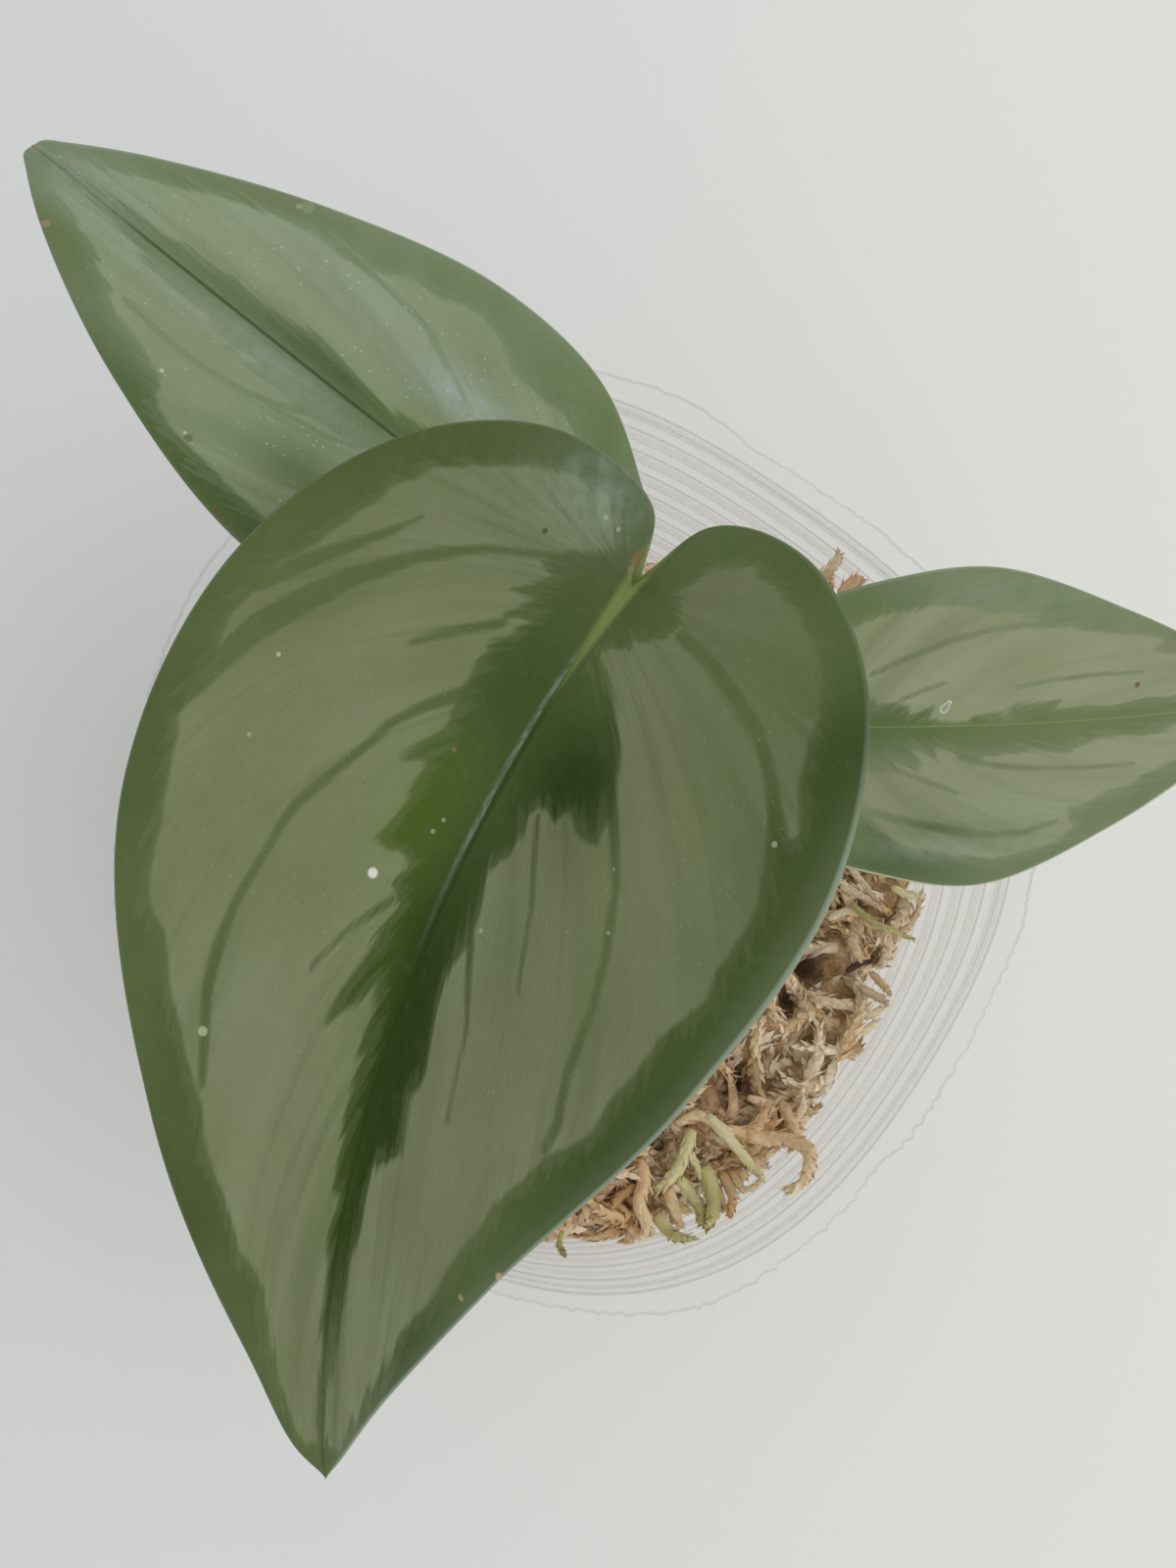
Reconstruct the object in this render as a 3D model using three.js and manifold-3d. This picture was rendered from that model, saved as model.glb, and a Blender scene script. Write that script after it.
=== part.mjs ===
// A young moonlight scindapsus: three silvered, heart-shaped leaves on a short vine stem, rooted in dry
// long-fibre moss in a clear ribbed cup whose rolled rim has been cut away.
// Millimetres, +Z up. The origin is the centre of the cup's flat base, on the surface it stands on.
import * as THREE from "three";
import { mergeVertices } from "three/addons/utils/BufferGeometryUtils.js";
import Module from "manifold-3d";

const wasm = await Module();
wasm.setup();

// The cup
const CUP_HEIGHT = 92;
const RIM_RADIUS = 52;
const WALL_SLOPE = Math.tan(THREE.MathUtils.degToRad(8.3));
const WALL = 0.8;
const CUP_FLOOR = 1.2;
const FLOOR_ROUND = 1.5;
const PLAIN_BAND = 4.9;
const RIB_PITCH = 4.3;
const RIB_COUNT = 14;
const GROOVE_HEIGHT = 2;
const GROOVE_DEPTH = 0.5;
const GROOVE_SLOPE = 0.25;
const CUP_SIDES = 36;
const BARB = 0.55;
// How the thin wall is squeezed out of round at the rim: [waves round the rim, cosine share, sine share]
const OUT_OF_ROUND = [
  [2, 0.003, -0.005],
  [3, 0.019, 0.004],
  [4, 0.022, 0.029],
];
// Where the cut edge runs high or low: [azimuth in degrees, rise, half width in degrees]
const EDGE_WAVES = [
  [67, -1.1, 5],
  [40, -0.8, 6],
  [309, -1.3, 4],
  [354, -0.9, 5],
  [335, 0.5, 12],
  [285, 0.9, 16],
  [255, 2.2, 8],
  [150, 2.4, 8],
];

// The moss
const GAP = 0.3;
const MOSS_LEVEL = 67.5;
const MOSS_TILT_X = 0.03;
const MOSS_TILT_Y = -0.13;
const MOUND_RISE = 2.1;
const LUMP_RISE = 1.2;
const MOSS_TOP = CUP_HEIGHT - 6;
const TUFT_COUNT = 110;
const TUFT_THICK = 1.7;
const TUFTED_RADIUS = 44;
const ROOT_DEPTH = 3.5;
const GOLDEN_ANGLE = 2.39996;

// The vine stem and the three petioles
const STEM_RADIUS = 2.3;
const PETIOLE_RADIUS = 1.35;
const STEM_PATH = [
  [11, 6, 46],
  [10, 8, 64],
  [8, 11, 80],
  [7.5, 14, 94],
];

// The blades. droop, heading and roll are [at the base, change towards the tip] in radians; fold and curl
// are [right half, left half]: how steeply a half rises from the midrib, and how it bends back to level.
// An outline runs from the base round the lobe to the tip, as [across, along] in lengths of the blade.
const BLADE_THICK = 0.8;
const KEEL_DEPTH = 1.1;
const KEEL_HALF_WIDTH = 0.012;
const LEAVES = {
  front: {
    base: [-9.1, 13.4, 137],
    length: 94.6,
    droop: [0.2, 0.5],
    heading: [-2.192, 0.775],
    roll: [-0.595, 0.114],
    fold: [0.26, 0.386],
    curl: [0.413, 0.852],
    foldFade: -0.445,
    outlines: [
      [
        [0.031, -0.066], [0.149, -0.076], [0.261, -0.006], [0.334, 0.14],
        [0.322, 0.346], [0.196, 0.594], [0.076, 0.82], [0.028, 0.952],
      ],
      [
        [0.031, -0.077], [0.147, -0.084], [0.271, -0.009], [0.337, 0.138],
        [0.306, 0.341], [0.19, 0.593], [0.083, 0.816], [0.022, 0.955],
      ],
    ],
    petiole: [
      [7.4, 14.4, 93],
      [5.2, 13, 105],
      [-0.5, 11.5, 119],
      [-6.2, 11.2, 130.5],
      [-8.6, 12.9, 135.4],
    ],
  },
  left: {
    base: [-8.1, 22.3, 110],
    length: 73.6,
    droop: [0, 0.35],
    heading: [2.534, -0.18],
    roll: [-0.078, 0.025],
    fold: [0.209, 0.217],
    curl: [0.605, 0.642],
    foldFade: 0.07,
    outlines: [
      [
        [0.04, -0.04], [0.11, -0.05], [0.172, 0.008], [0.25, 0.136],
        [0.267, 0.344], [0.201, 0.602], [0.092, 0.85], [0.03, 0.965],
      ],
    ],
    petiole: [
      [7.8, 11.6, 84],
      [3.2, 13, 91.5],
      [-1.2, 16.4, 101],
      [-5.4, 20.2, 107.8],
      [-7.6, 22.1, 109.4],
    ],
  },
  right: {
    base: [19.3, 9.6, 101],
    length: 63.2,
    droop: [-0.2, 0.4],
    heading: [-0.012, 0.225],
    roll: [-0.4, -0.064],
    fold: [0.19, 0.16],
    curl: [0.48, 0.679],
    foldFade: 0.26,
    outlines: [
      [
        [0.05, -0.045], [0.135, -0.066], [0.205, -0.005], [0.26, 0.147],
        [0.279, 0.33], [0.195, 0.599], [0.093, 0.829], [0.025, 0.955],
      ],
    ],
    petiole: [
      [8.8, 10.2, 75],
      [12, 8.6, 84],
      [14.5, 8.2, 93],
      [17, 8.9, 98.8],
      [18.9, 9.5, 100.4],
    ],
  },
};

const COLOURS = {
  cup: new THREE.MeshStandardMaterial({
    color: "#e9ecea",
    roughness: 0.15,
    transparent: true,
    opacity: 0.35,
  }),
  moss: new THREE.MeshStandardMaterial({ color: "#b89a72", roughness: 0.95, metalness: 0 }),
  greenSprig: new THREE.MeshStandardMaterial({ color: "#a5a75c", roughness: 0.9, metalness: 0 }),
  rustSprig: new THREE.MeshStandardMaterial({ color: "#9a6238", roughness: 0.9, metalness: 0 }),
  stem: new THREE.MeshStandardMaterial({ color: "#6c7f43", roughness: 0.6, metalness: 0 }),
  petiole: new THREE.MeshStandardMaterial({ color: "#8ea24b", roughness: 0.5, metalness: 0 }),
  blade: new THREE.MeshStandardMaterial({ color: "#72836a", roughness: 0.45, metalness: 0 }),
};

// A seeded draw between 0 and 1, the same on every run
function seededDraw(seed) {
  let state = seed;
  return () => {
    state = (state * 1664525 + 1013904223) % 4294967296;
    return state / 4294967296;
  };
}

// A BufferGeometry from a list of corner points and a list of triangles
function facets(points, triangles) {
  const geometry = new THREE.BufferGeometry();
  geometry.setAttribute("position", new THREE.Float32BufferAttribute(points.flat(), 3));
  geometry.setIndex(triangles.flat());
  return geometry;
}

function toSolid(geometry) {
  const merged = mergeVertices(geometry, 1e-4);
  return new wasm.Manifold(
    new wasm.Mesh({
      numProp: 3,
      vertProperties: merged.attributes.position.array,
      triVerts: new Uint32Array(merged.index.array),
    }),
  );
}

function toGeometry(solid) {
  const mesh = solid.getMesh();
  const geometry = new THREE.BufferGeometry();
  geometry.setAttribute("position", new THREE.BufferAttribute(new Float32Array(mesh.vertProperties), 3));
  geometry.setIndex(new THREE.BufferAttribute(new Uint32Array(mesh.triVerts), 1));
  return geometry;
}

// The share by which the wall stands off a true circle: full at the rim, none at the base
function squeeze(azimuth, z) {
  let share = 0;
  for (const [waves, cosine, sine] of OUT_OF_ROUND)
    share += cosine * Math.cos(waves * azimuth) + sine * Math.sin(waves * azimuth);
  return 1 + Math.pow(Math.max(z, 0) / CUP_HEIGHT, 1.2) * share;
}

// A point at height z of the wall, stood off its outer face by offset
function wallPoint(azimuth, z, offset) {
  const cone = RIM_RADIUS - (CUP_HEIGHT - z) * WALL_SLOPE;
  const radius = (cone + offset) * squeeze(azimuth, z);
  return [radius * Math.cos(azimuth), radius * Math.sin(azimuth), z];
}

// Joins rings of points, bottom to top on the outside and down again inside, into one closed shell.
// Neighbouring rings have as many points, or one has twice as many.
function closedRings(rings) {
  const points = [];
  const starts = [];
  for (const ring of rings) {
    starts.push(points.length);
    points.push(...ring);
  }
  const triangles = [];
  for (let k = 0; k + 1 < rings.length; k++) {
    const low = rings[k].length;
    const high = rings[k + 1].length;
    const sides = Math.max(low, high);
    const lowAt = (i) => starts[k] + Math.floor((i * low) / sides) % low;
    const highAt = (i) => starts[k + 1] + Math.floor((i * high) / sides) % high;
    for (let i = 0; i < sides; i++) {
      const a = lowAt(i);
      const b = lowAt(i + 1);
      const c = highAt(i);
      const d = highAt(i + 1);
      if (a !== b) triangles.push([a, b, d]);
      if (c !== d) triangles.push([a, d, c]);
    }
  }
  return facets(points, triangles);
}

// A ring of points at a given height or at a height that changes round the wall
function wallRing(height, offset, sides = CUP_SIDES) {
  return Array.from({ length: sides }, (_, i) => {
    const azimuth = (2 * Math.PI * i) / sides;
    const z = typeof height === "function" ? height(azimuth, i) : height;
    return wallPoint(azimuth, z, offset);
  });
}

// The height of the cut edge: slow waves, and a small pointed barb at every other point
const barbDraw = seededDraw(11);
const barbs = Array.from({ length: 2 * CUP_SIDES }, (_, i) => (i % 2 ? 1 : -1) * BARB * (0.3 + barbDraw()));
function cutEdge(azimuth, i) {
  const degrees = THREE.MathUtils.radToDeg(azimuth);
  let z = CUP_HEIGHT + barbs[i];
  for (const [at, rise, halfWidth] of EDGE_WAVES) z += rise * Math.exp(-(((degrees - at) / halfWidth) ** 2));
  return z;
}

// A shallow ring pressed into the base, as [height, distance in from the wall], and the rounded heel
const FOOT = [[0, -22], [0.6, -21], [0.6, -16], [0, -15], [0, -1.4], [1.2, 0]];

function cupGeometry() {
  const rings = [[[0, 0, 0]]];
  for (const [z, offset] of FOOT) rings.push(wallRing(z, offset));
  for (let rib = RIB_COUNT - 1; rib >= 0; rib--) {
    const top = CUP_HEIGHT - PLAIN_BAND - rib * RIB_PITCH;
    rings.push(wallRing(top - GROOVE_HEIGHT - 2 * GROOVE_SLOPE, 0));
    rings.push(wallRing(top - GROOVE_HEIGHT - GROOVE_SLOPE, -GROOVE_DEPTH));
    rings.push(wallRing(top - GROOVE_SLOPE, -GROOVE_DEPTH));
    rings.push(wallRing(top, 0));
  }
  rings.push(wallRing(cutEdge, 0, 2 * CUP_SIDES), wallRing(cutEdge, -WALL, 2 * CUP_SIDES));
  const inner = -WALL - GROOVE_DEPTH;
  const bandFoot = CUP_HEIGHT - PLAIN_BAND;
  rings.push(wallRing(bandFoot, -WALL));
  const innerHeights = [bandFoot - GROOVE_SLOPE, 64, 40, 18, CUP_FLOOR + FLOOR_ROUND];
  for (const z of innerHeights) rings.push(wallRing(z, inner));
  rings.push(wallRing(CUP_FLOOR, inner - FLOOR_ROUND), [[0, 0, CUP_FLOOR]]);
  return closedRings(rings);
}

function mossHeight(x, y) {
  const mounds = MOUND_RISE * Math.sin(0.23 * x + 1.1) * Math.sin(0.27 * y + 0.4);
  const lumps = LUMP_RISE * Math.sin(0.55 * x - 0.48 * y);
  return MOSS_LEVEL + MOSS_TILT_X * x + MOSS_TILT_Y * y + mounds + lumps;
}

// The space inside the cup, clear of its wall, up to a given height
function insideCup(height) {
  const clear = -WALL - GROOVE_DEPTH - GAP;
  const foot = CUP_FLOOR + GAP;
  const rings = [[[0, 0, foot]], wallRing(foot, clear - FLOOR_ROUND), wallRing(foot + FLOOR_ROUND, clear)];
  for (const z of [18, 40]) rings.push(wallRing(z, clear));
  rings.push(wallRing(height, clear));
  return { rings, clear };
}

function mossBody() {
  const topHeight = (azimuth) => {
    const [x, y] = wallPoint(azimuth, MOSS_LEVEL, 0);
    return mossHeight(x, y);
  };
  const { rings, clear } = insideCup(topHeight);
  for (const share of [0.9, 0.74, 0.57, 0.4, 0.22]) {
    rings.push(
      Array.from({ length: CUP_SIDES }, (_, i) => {
        const azimuth = (2 * Math.PI * i) / CUP_SIDES;
        const [x, y] = wallPoint(azimuth, MOSS_LEVEL, clear).map((v) => v * share);
        return [x, y, mossHeight(x, y)];
      }),
    );
  }
  rings.push([[0, 0, mossHeight(0, 0)]]);
  return closedRings(rings);
}

// A closed round solid along a smooth path: radii are spread evenly along it, and a radius of 0 is a point
function taperedTube(path, radii, sides, turn = 0) {
  const curve = new THREE.CatmullRomCurve3(path.map((p) => new THREE.Vector3(...p)));
  const steps = radii.length - 1;
  const frames = curve.computeFrenetFrames(steps, false);
  const rings = radii.map((radius, k) => {
    const centre = curve.getPointAt(k / steps);
    if (radius === 0) return [centre.toArray()];
    return Array.from({ length: sides }, (_, i) => {
      const angle = turn + (2 * Math.PI * i) / sides;
      const across = frames.normals[k].clone().multiplyScalar(Math.cos(angle));
      across.addScaledVector(frames.binormals[k], Math.sin(angle));
      return centre.clone().addScaledVector(across, radius).toArray();
    });
  });
  const ends = [curve.getPointAt(0).toArray(), curve.getPointAt(1).toArray()];
  if (radii[0] > 0) rings.unshift([ends[0]]);
  if (radii[steps] > 0) rings.push([ends[1]]);
  return closedRings(rings);
}

// One leafy moss strand: out of the moss at [x, y], leaning towards an azimuth and curling over
function tuft(x, y, azimuth, length, lean, curl) {
  const root = [x, y, mossHeight(x, y) - ROOT_DEPTH];
  const out = [Math.cos(azimuth), Math.sin(azimuth)];
  const path = [root];
  let angle = Math.PI / 2 - lean;
  for (let k = 0; k < 3; k++) {
    const last = path[path.length - 1];
    const step = (length + ROOT_DEPTH) / 3;
    path.push([
      last[0] + out[0] * step * Math.cos(angle),
      last[1] + out[1] * step * Math.cos(angle),
      last[2] + step * Math.sin(angle),
    ]);
    angle -= curl;
  }
  return taperedTube(path, [0.8 * TUFT_THICK, TUFT_THICK, 0.8 * TUFT_THICK, 0], 3, azimuth);
}

function mossTufts() {
  const draw = seededDraw(5);
  const tufts = [];
  for (let k = 0; k < TUFT_COUNT; k++) {
    const radius = TUFTED_RADIUS * Math.sqrt((k + 0.5) / TUFT_COUNT);
    const bearing = k * GOLDEN_ANGLE + 0.25 * (draw() - 0.5);
    const lean = 0.35 + 0.75 * draw();
    const length = 5.5 + 5.5 * draw();
    const azimuth = bearing + 3.4 * (draw() - 0.5);
    const curl = 0.3 + 0.5 * draw();
    tufts.push(tuft(radius * Math.cos(bearing), radius * Math.sin(bearing), azimuth, length, lean, curl));
  }
  return tufts;
}

// A loose sprig of leafy side branches on a thin upright, which stands in a round hole in the moss and
// leans over above its bend
const SPRIG_LEAN = 3;
const SPRIG_BEND = 0.4;
function sprigSolids(x, y, height, azimuth, branches, seed) {
  const draw = seededDraw(seed);
  const base = mossHeight(x, y);
  const uprightAt = (share) => {
    const lean = SPRIG_LEAN * Math.max(0, (share - SPRIG_BEND) / (1 - SPRIG_BEND));
    return [x + lean * Math.cos(azimuth), y + lean * Math.sin(azimuth), base + share * height];
  };
  const upright = [[x, y, base - ROOT_DEPTH], uprightAt(SPRIG_BEND), uprightAt(1)];
  const solids = [taperedTube(upright, [0.9, 0.9, 1.1, 0.9, 0], 5)];
  for (let k = 0; k < branches; k++) {
    const bearing = azimuth + (k * 2.2 - branches) + 0.4 * draw();
    const [fromX, fromY, from] = uprightAt(0.35 + (0.5 * k) / branches);
    const reach = 3.5 + 2 * draw();
    const path = [
      [fromX, fromY, from],
      [fromX + 0.6 * reach * Math.cos(bearing), fromY + 0.6 * reach * Math.sin(bearing), from + 1.6],
      [fromX + reach * Math.cos(bearing), fromY + reach * Math.sin(bearing), from + 0.6],
    ];
    solids.push(taperedTube(path, [0.8, 1.1, 0.8, 0], 4, bearing));
  }
  return solids;
}

// The tapered hole that a sprig stands in: foot and top radius, and how far it reaches up
const WELL = { foot: 1.4, top: 6, depth: 14 };
const SPRIGS = {
  moss_sprig_green: {
    at: [16.5, -39],
    height: 9,
    azimuth: -1.3,
    branches: 5,
    seed: 21,
    material: COLOURS.greenSprig,
  },
  moss_sprig_rust: {
    at: [31, 28.5],
    height: 20,
    azimuth: 1.2,
    branches: 4,
    seed: 33,
    material: COLOURS.rustSprig,
  },
};

function union(geometries) {
  return wasm.Manifold.union(geometries.map(toSolid));
}

// The stem swells at its three nodes, and short aerial roots stand out below them
function stemParts(extra) {
  const swell = [0, 0, 0.2, 0.7, 0.2, 0.7, 0.2, 0.7, 0.9, 0.3];
  const parts = [taperedTube(STEM_PATH, swell.map((s) => STEM_RADIUS + s + extra), 12)];
  for (const [x, y, z, azimuth] of [[9.2, 9.5, 73, 3.6], [8.2, 11.5, 82, 5.2], [7.7, 13.3, 90, 3.9]]) {
    const across = [Math.cos(azimuth), Math.sin(azimuth)];
    const root = [
      [x, y, z],
      [x + 3.6 * across[0], y + 3.6 * across[1], z - 0.6],
      [x + 5.4 * across[0], y + 5.4 * across[1], z - 2.4],
    ];
    parts.push(taperedTube(root, [0.8 + extra, 0.7 + extra, 0.5 + extra, 0], 6));
  }
  return parts;
}

// A leaf stalk: a sheath that clasps the stem, a slim middle, and a swollen knee under the blade
function petioleGeometry(path) {
  const profile = [1.75, 1.45, 1.1, 1, 1, 1, 1.05, 1.2, 1.2, 1.1];
  return taperedTube(path, profile.map((share) => share * PETIOLE_RADIUS), 10);
}

// The blade's outline as a smooth curve from the base to the tip
function outlineCurve(points) {
  return new THREE.CatmullRomCurve3([[0, 0], ...points, [0, 1]].map(([x, y]) => new THREE.Vector3(x, y, 0)));
}

// The midrib in space, and the directions across and up from it, at a share of the blade's length
function midribFrame(leaf, share) {
  const steps = 24;
  const at = (s) => {
    const droop = leaf.droop[0] + leaf.droop[1] * s;
    const heading = leaf.heading[0] + leaf.heading[1] * s;
    return new THREE.Vector3(
      Math.cos(droop) * Math.cos(heading),
      Math.cos(droop) * Math.sin(heading),
      -Math.sin(droop),
    );
  };
  const place = new THREE.Vector3(...leaf.base);
  const step = share / steps;
  for (let k = 0; k < steps; k++) place.addScaledVector(at((k + 0.5) * step), leaf.length * step);
  const heading = leaf.heading[0] + leaf.heading[1] * share;
  const level = new THREE.Vector3(Math.sin(heading), -Math.cos(heading), 0);
  const upright = level.clone().cross(at(share));
  const roll = leaf.roll[0] + leaf.roll[1] * share;
  const across = level.clone().multiplyScalar(Math.cos(roll)).addScaledVector(upright, Math.sin(roll));
  const up = upright.multiplyScalar(Math.cos(roll)).addScaledVector(level, -Math.sin(roll));
  return { place, across, up };
}

// Where a point of the flat blade, [across, along] in lengths, lies in space
function bladePoint(leaf, x, y) {
  const { place, across, up } = midribFrame(leaf, y);
  const half = x > 0 ? 0 : 1;
  const fold = leaf.fold[half] * (1 - leaf.foldFade * y);
  const curl = leaf.curl[half];
  const soft = 0.012;
  const reach = Math.abs(x);
  const rise = Math.hypot(x, soft) - soft;
  const out = ((Math.sin(fold) - Math.sin(fold - curl * reach)) / curl) * leaf.length;
  const height = ((Math.cos(fold - curl * rise) - Math.cos(fold)) / curl) * leaf.length;
  return place.addScaledVector(across, Math.sign(x) * out).addScaledVector(up, height);
}

// The blade is split along its side veins, which leave the midrib low and sweep towards the tip.
// t runs along the margin from the base to the tip, and r along a vein from the midrib to the margin.
function veinPoint(margin, t, r) {
  const from = Math.pow(Math.max(0, (t - 0.25) / 0.75), 3.6);
  const wide = 0.62 + 0.9 * THREE.MathUtils.smoothstep(t, 0.42, 0.8);
  const steep = 0.3 + 0.14 * THREE.MathUtils.smoothstep(t, 0.3, 0.6);
  const bend = [wide * margin.x, from + steep * (margin.y - from)];
  const x = 2 * r * (1 - r) * bend[0] + r * r * margin.x;
  const y = (1 - r) * (1 - r) * from + 2 * r * (1 - r) * bend[1] + r * r * margin.y;
  return [x, y];
}

// The closed blade, or with extra the room that it takes up with that much clearance all round
function bladeGeometry(leaf, extra = 0) {
  const grow = 1 + extra / 10;
  const stations = 26;
  const across = 5;
  const halves = [leaf.outlines[0], leaf.outlines[leaf.outlines.length - 1]].map(outlineCurve);
  const top = [];
  const bottom = [];
  const shift = 1e-3;
  for (let k = 0; k <= stations; k++) {
    const t = k / stations;
    for (let j = -across; j <= across; j++) {
      const side = j > 0 ? 1 : -1;
      const margin = halves[j > 0 ? 0 : 1].getPoint(t);
      const vein = veinPoint(margin, t, Math.abs(j) / across);
      const x = vein[0] * grow;
      const y = 0.4 + (vein[1] - 0.4) * grow;
      const here = bladePoint(leaf, side * x, y);
      const alongX = bladePoint(leaf, side * x + shift, y).sub(bladePoint(leaf, side * x - shift, y));
      const alongY = bladePoint(leaf, side * x, y + shift).sub(bladePoint(leaf, side * x, y - shift));
      const normal = alongX.cross(alongY).normalize();
      const keel = KEEL_DEPTH * (1 - 0.75 * y) * Math.exp(-((x / KEEL_HALF_WIDTH) ** 2));
      top.push(here.clone().addScaledVector(normal, BLADE_THICK / 2 + extra).toArray());
      bottom.push(here.clone().addScaledVector(normal, -BLADE_THICK / 2 - keel - extra).toArray());
    }
  }
  const points = [...top, ...bottom];
  const columns = 2 * across + 1;
  const under = top.length;
  const triangles = [];
  const same = (a, b) => points[a].every((v, i) => Math.abs(v - points[b][i]) < 1e-6);
  const add = (a, b, c) => {
    if (!same(a, b) && !same(b, c) && !same(a, c)) triangles.push([a, b, c]);
  };
  for (let k = 0; k < stations; k++) {
    for (let j = 0; j < columns - 1; j++) {
      const a = k * columns + j;
      const b = a + 1;
      const c = a + columns;
      const d = c + 1;
      add(a, b, d);
      add(a, d, c);
      add(under + a, under + d, under + b);
      add(under + a, under + c, under + d);
    }
    for (const edge of [0, columns - 1]) {
      const a = k * columns + edge;
      const c = a + columns;
      if (edge === 0) {
        add(a, c, under + c);
        add(a, under + c, under + a);
      } else {
        add(a, under + c, c);
        add(a, under + a, under + c);
      }
    }
  }
  return facets(points, triangles);
}

function mesh(name, geometry, material) {
  const made = new THREE.Mesh(geometry, material);
  made.name = name;
  return made;
}

const plant = new THREE.Group();
plant.add(mesh("cup", cupGeometry(), COLOURS.cup));

// Sprigs and stem stand in holes cut a little wider than they are
const room = closedRings([...insideCup(MOSS_TOP).rings, [[0, 0, MOSS_TOP]]]);
let moss = union([mossBody(), ...mossTufts()]).intersect(toSolid(room));
moss = moss.subtract(union(stemParts(GAP)));
for (const [name, sprig] of Object.entries(SPRIGS)) {
  const [x, y] = sprig.at;
  const solids = sprigSolids(x, y, sprig.height, sprig.azimuth, sprig.branches, sprig.seed);
  plant.add(mesh(name, toGeometry(union(solids)), sprig.material));
  const base = mossHeight(x, y);
  const well = new THREE.CylinderGeometry(WELL.top, WELL.foot, WELL.depth, 12).rotateX(Math.PI / 2);
  well.translate(x, y, base - ROOT_DEPTH - GAP + WELL.depth / 2);
  well.deleteAttribute("normal");
  well.deleteAttribute("uv");
  moss = moss.subtract(toSolid(well));
}
plant.add(mesh("moss_plug", toGeometry(moss), COLOURS.moss));

plant.add(mesh("stem", toGeometry(union(stemParts(0))), COLOURS.stem));
for (const [side, leaf] of Object.entries(LEAVES)) {
  plant.add(mesh("leaf_" + side, bladeGeometry(leaf), COLOURS.blade));
  const stalk = toSolid(petioleGeometry(leaf.petiole))
    .subtract(union(stemParts(GAP)))
    .subtract(toSolid(bladeGeometry(leaf, GAP)));
  plant.add(mesh("petiole_" + side, toGeometry(stalk), COLOURS.petiole));
}

export default plant;
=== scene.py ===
import math

import bmesh
import bpy
import numpy as np
from mathutils import Euler, Matrix, Vector


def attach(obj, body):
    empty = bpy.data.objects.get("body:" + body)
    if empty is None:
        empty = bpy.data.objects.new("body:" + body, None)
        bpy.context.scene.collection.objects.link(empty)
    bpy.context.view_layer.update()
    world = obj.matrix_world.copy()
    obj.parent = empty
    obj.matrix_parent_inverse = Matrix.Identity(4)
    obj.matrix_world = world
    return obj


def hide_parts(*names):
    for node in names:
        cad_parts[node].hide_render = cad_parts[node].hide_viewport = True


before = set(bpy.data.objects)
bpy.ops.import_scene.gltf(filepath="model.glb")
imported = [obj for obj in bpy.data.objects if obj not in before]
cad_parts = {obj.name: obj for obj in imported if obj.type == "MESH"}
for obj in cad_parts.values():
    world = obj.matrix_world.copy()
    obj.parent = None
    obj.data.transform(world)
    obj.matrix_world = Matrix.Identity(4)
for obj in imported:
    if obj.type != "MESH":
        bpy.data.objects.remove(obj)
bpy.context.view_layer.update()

# A young moonlight scindapsus in a clear ribbed cup of dry moss. Lengths are millimetres until a piece is
# made a mesh, and azimuths are radians round +Z unless a name says degrees.
MM = 0.001

# The cup
CUP_HEIGHT = 92.0
RIM_RADIUS = 52.0
WALL_SLOPE = math.tan(math.radians(8.3))
WALL = 0.45
CUP_FLOOR = 1.0
PLAIN_BAND = 4.9
RIB_PITCH = 4.3
RIB_COUNT = 14
GROOVE_HEIGHT = 2.0
GROOVE_DEPTH = 0.5
GROOVE_SLOPE = 0.25
CUP_SIDES = 640
OUT_OF_ROUND = [(2, 0.003, -0.005), (3, 0.019, 0.004), (4, 0.022, 0.029)]
EDGE_WAVES = [
    (67, -1.1, 5), (40, -0.8, 6), (309, -1.3, 4), (354, -0.9, 5),
    (335, 0.5, 12), (285, 0.9, 16), (255, 2.2, 8), (150, 2.4, 8),
]
NEAR_AXIS = 1.0 - RIM_RADIUS + CUP_HEIGHT * WALL_SLOPE
FOOT = [(0.0, -22.0), (0.6, -21.0), (0.6, -16.0), (0.0, -15.0), (0.0, -1.4), (1.2, 0.0)]
BARBS = 120
EDGE_LIP = 1.4
EDGE_FLARE = 0.35
ROUGH_CUT = 0.07

# The moss: hollows are (x, y, radius, depth) of the dark gaps between its clumps, the low side is where it
# sinks away from the wall, and the strands lie on it as deep as the strand bed
MOSS_LEVEL = 67.5
MOSS_TILT = (0.03, -0.13)
MOUND_RISE = 2.1
LUMP_RISE = 1.2
STRAND_BED = 1.5
MOSS_SIDES = 200
SIDE_RINGS = 44
TOP_RINGS = 26
HOLLOWS = [
    (33.4, -16.0, 3.0, 5.0), (29.8, -20.6, 1.9, 4.0), (22.6, -30.8, 2.9, 5.0), (27.4, -26.9, 1.4, 3.0),
    (11.4, -38.2, 1.8, 3.0), (7.6, -43.2, 1.5, 2.5),
]
LOW_SIDE = (13.0, 49.0, 9.0, 17.0)

# The stem and the leaf stalks
STEM_RADIUS = 2.3
STEM_PATH = [(11, 6, 46), (10, 8, 64), (8, 11, 80), (7.5, 14, 94)]
STEM_SWELL = [0, 0, 0.2, 0.7, 0.2, 0.7, 0.2, 0.7, 0.9, 0.3]
AERIAL_ROOTS = [(9.2, 9.5, 73, 3.6), (8.2, 11.5, 82, 5.2), (7.7, 13.3, 90, 3.9)]
PETIOLE_RADIUS = 1.35
PETIOLE_SHARES = [1.75, 1.45, 1.1, 1, 1, 1, 1.05, 1.2, 1.2, 1.1]

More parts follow.
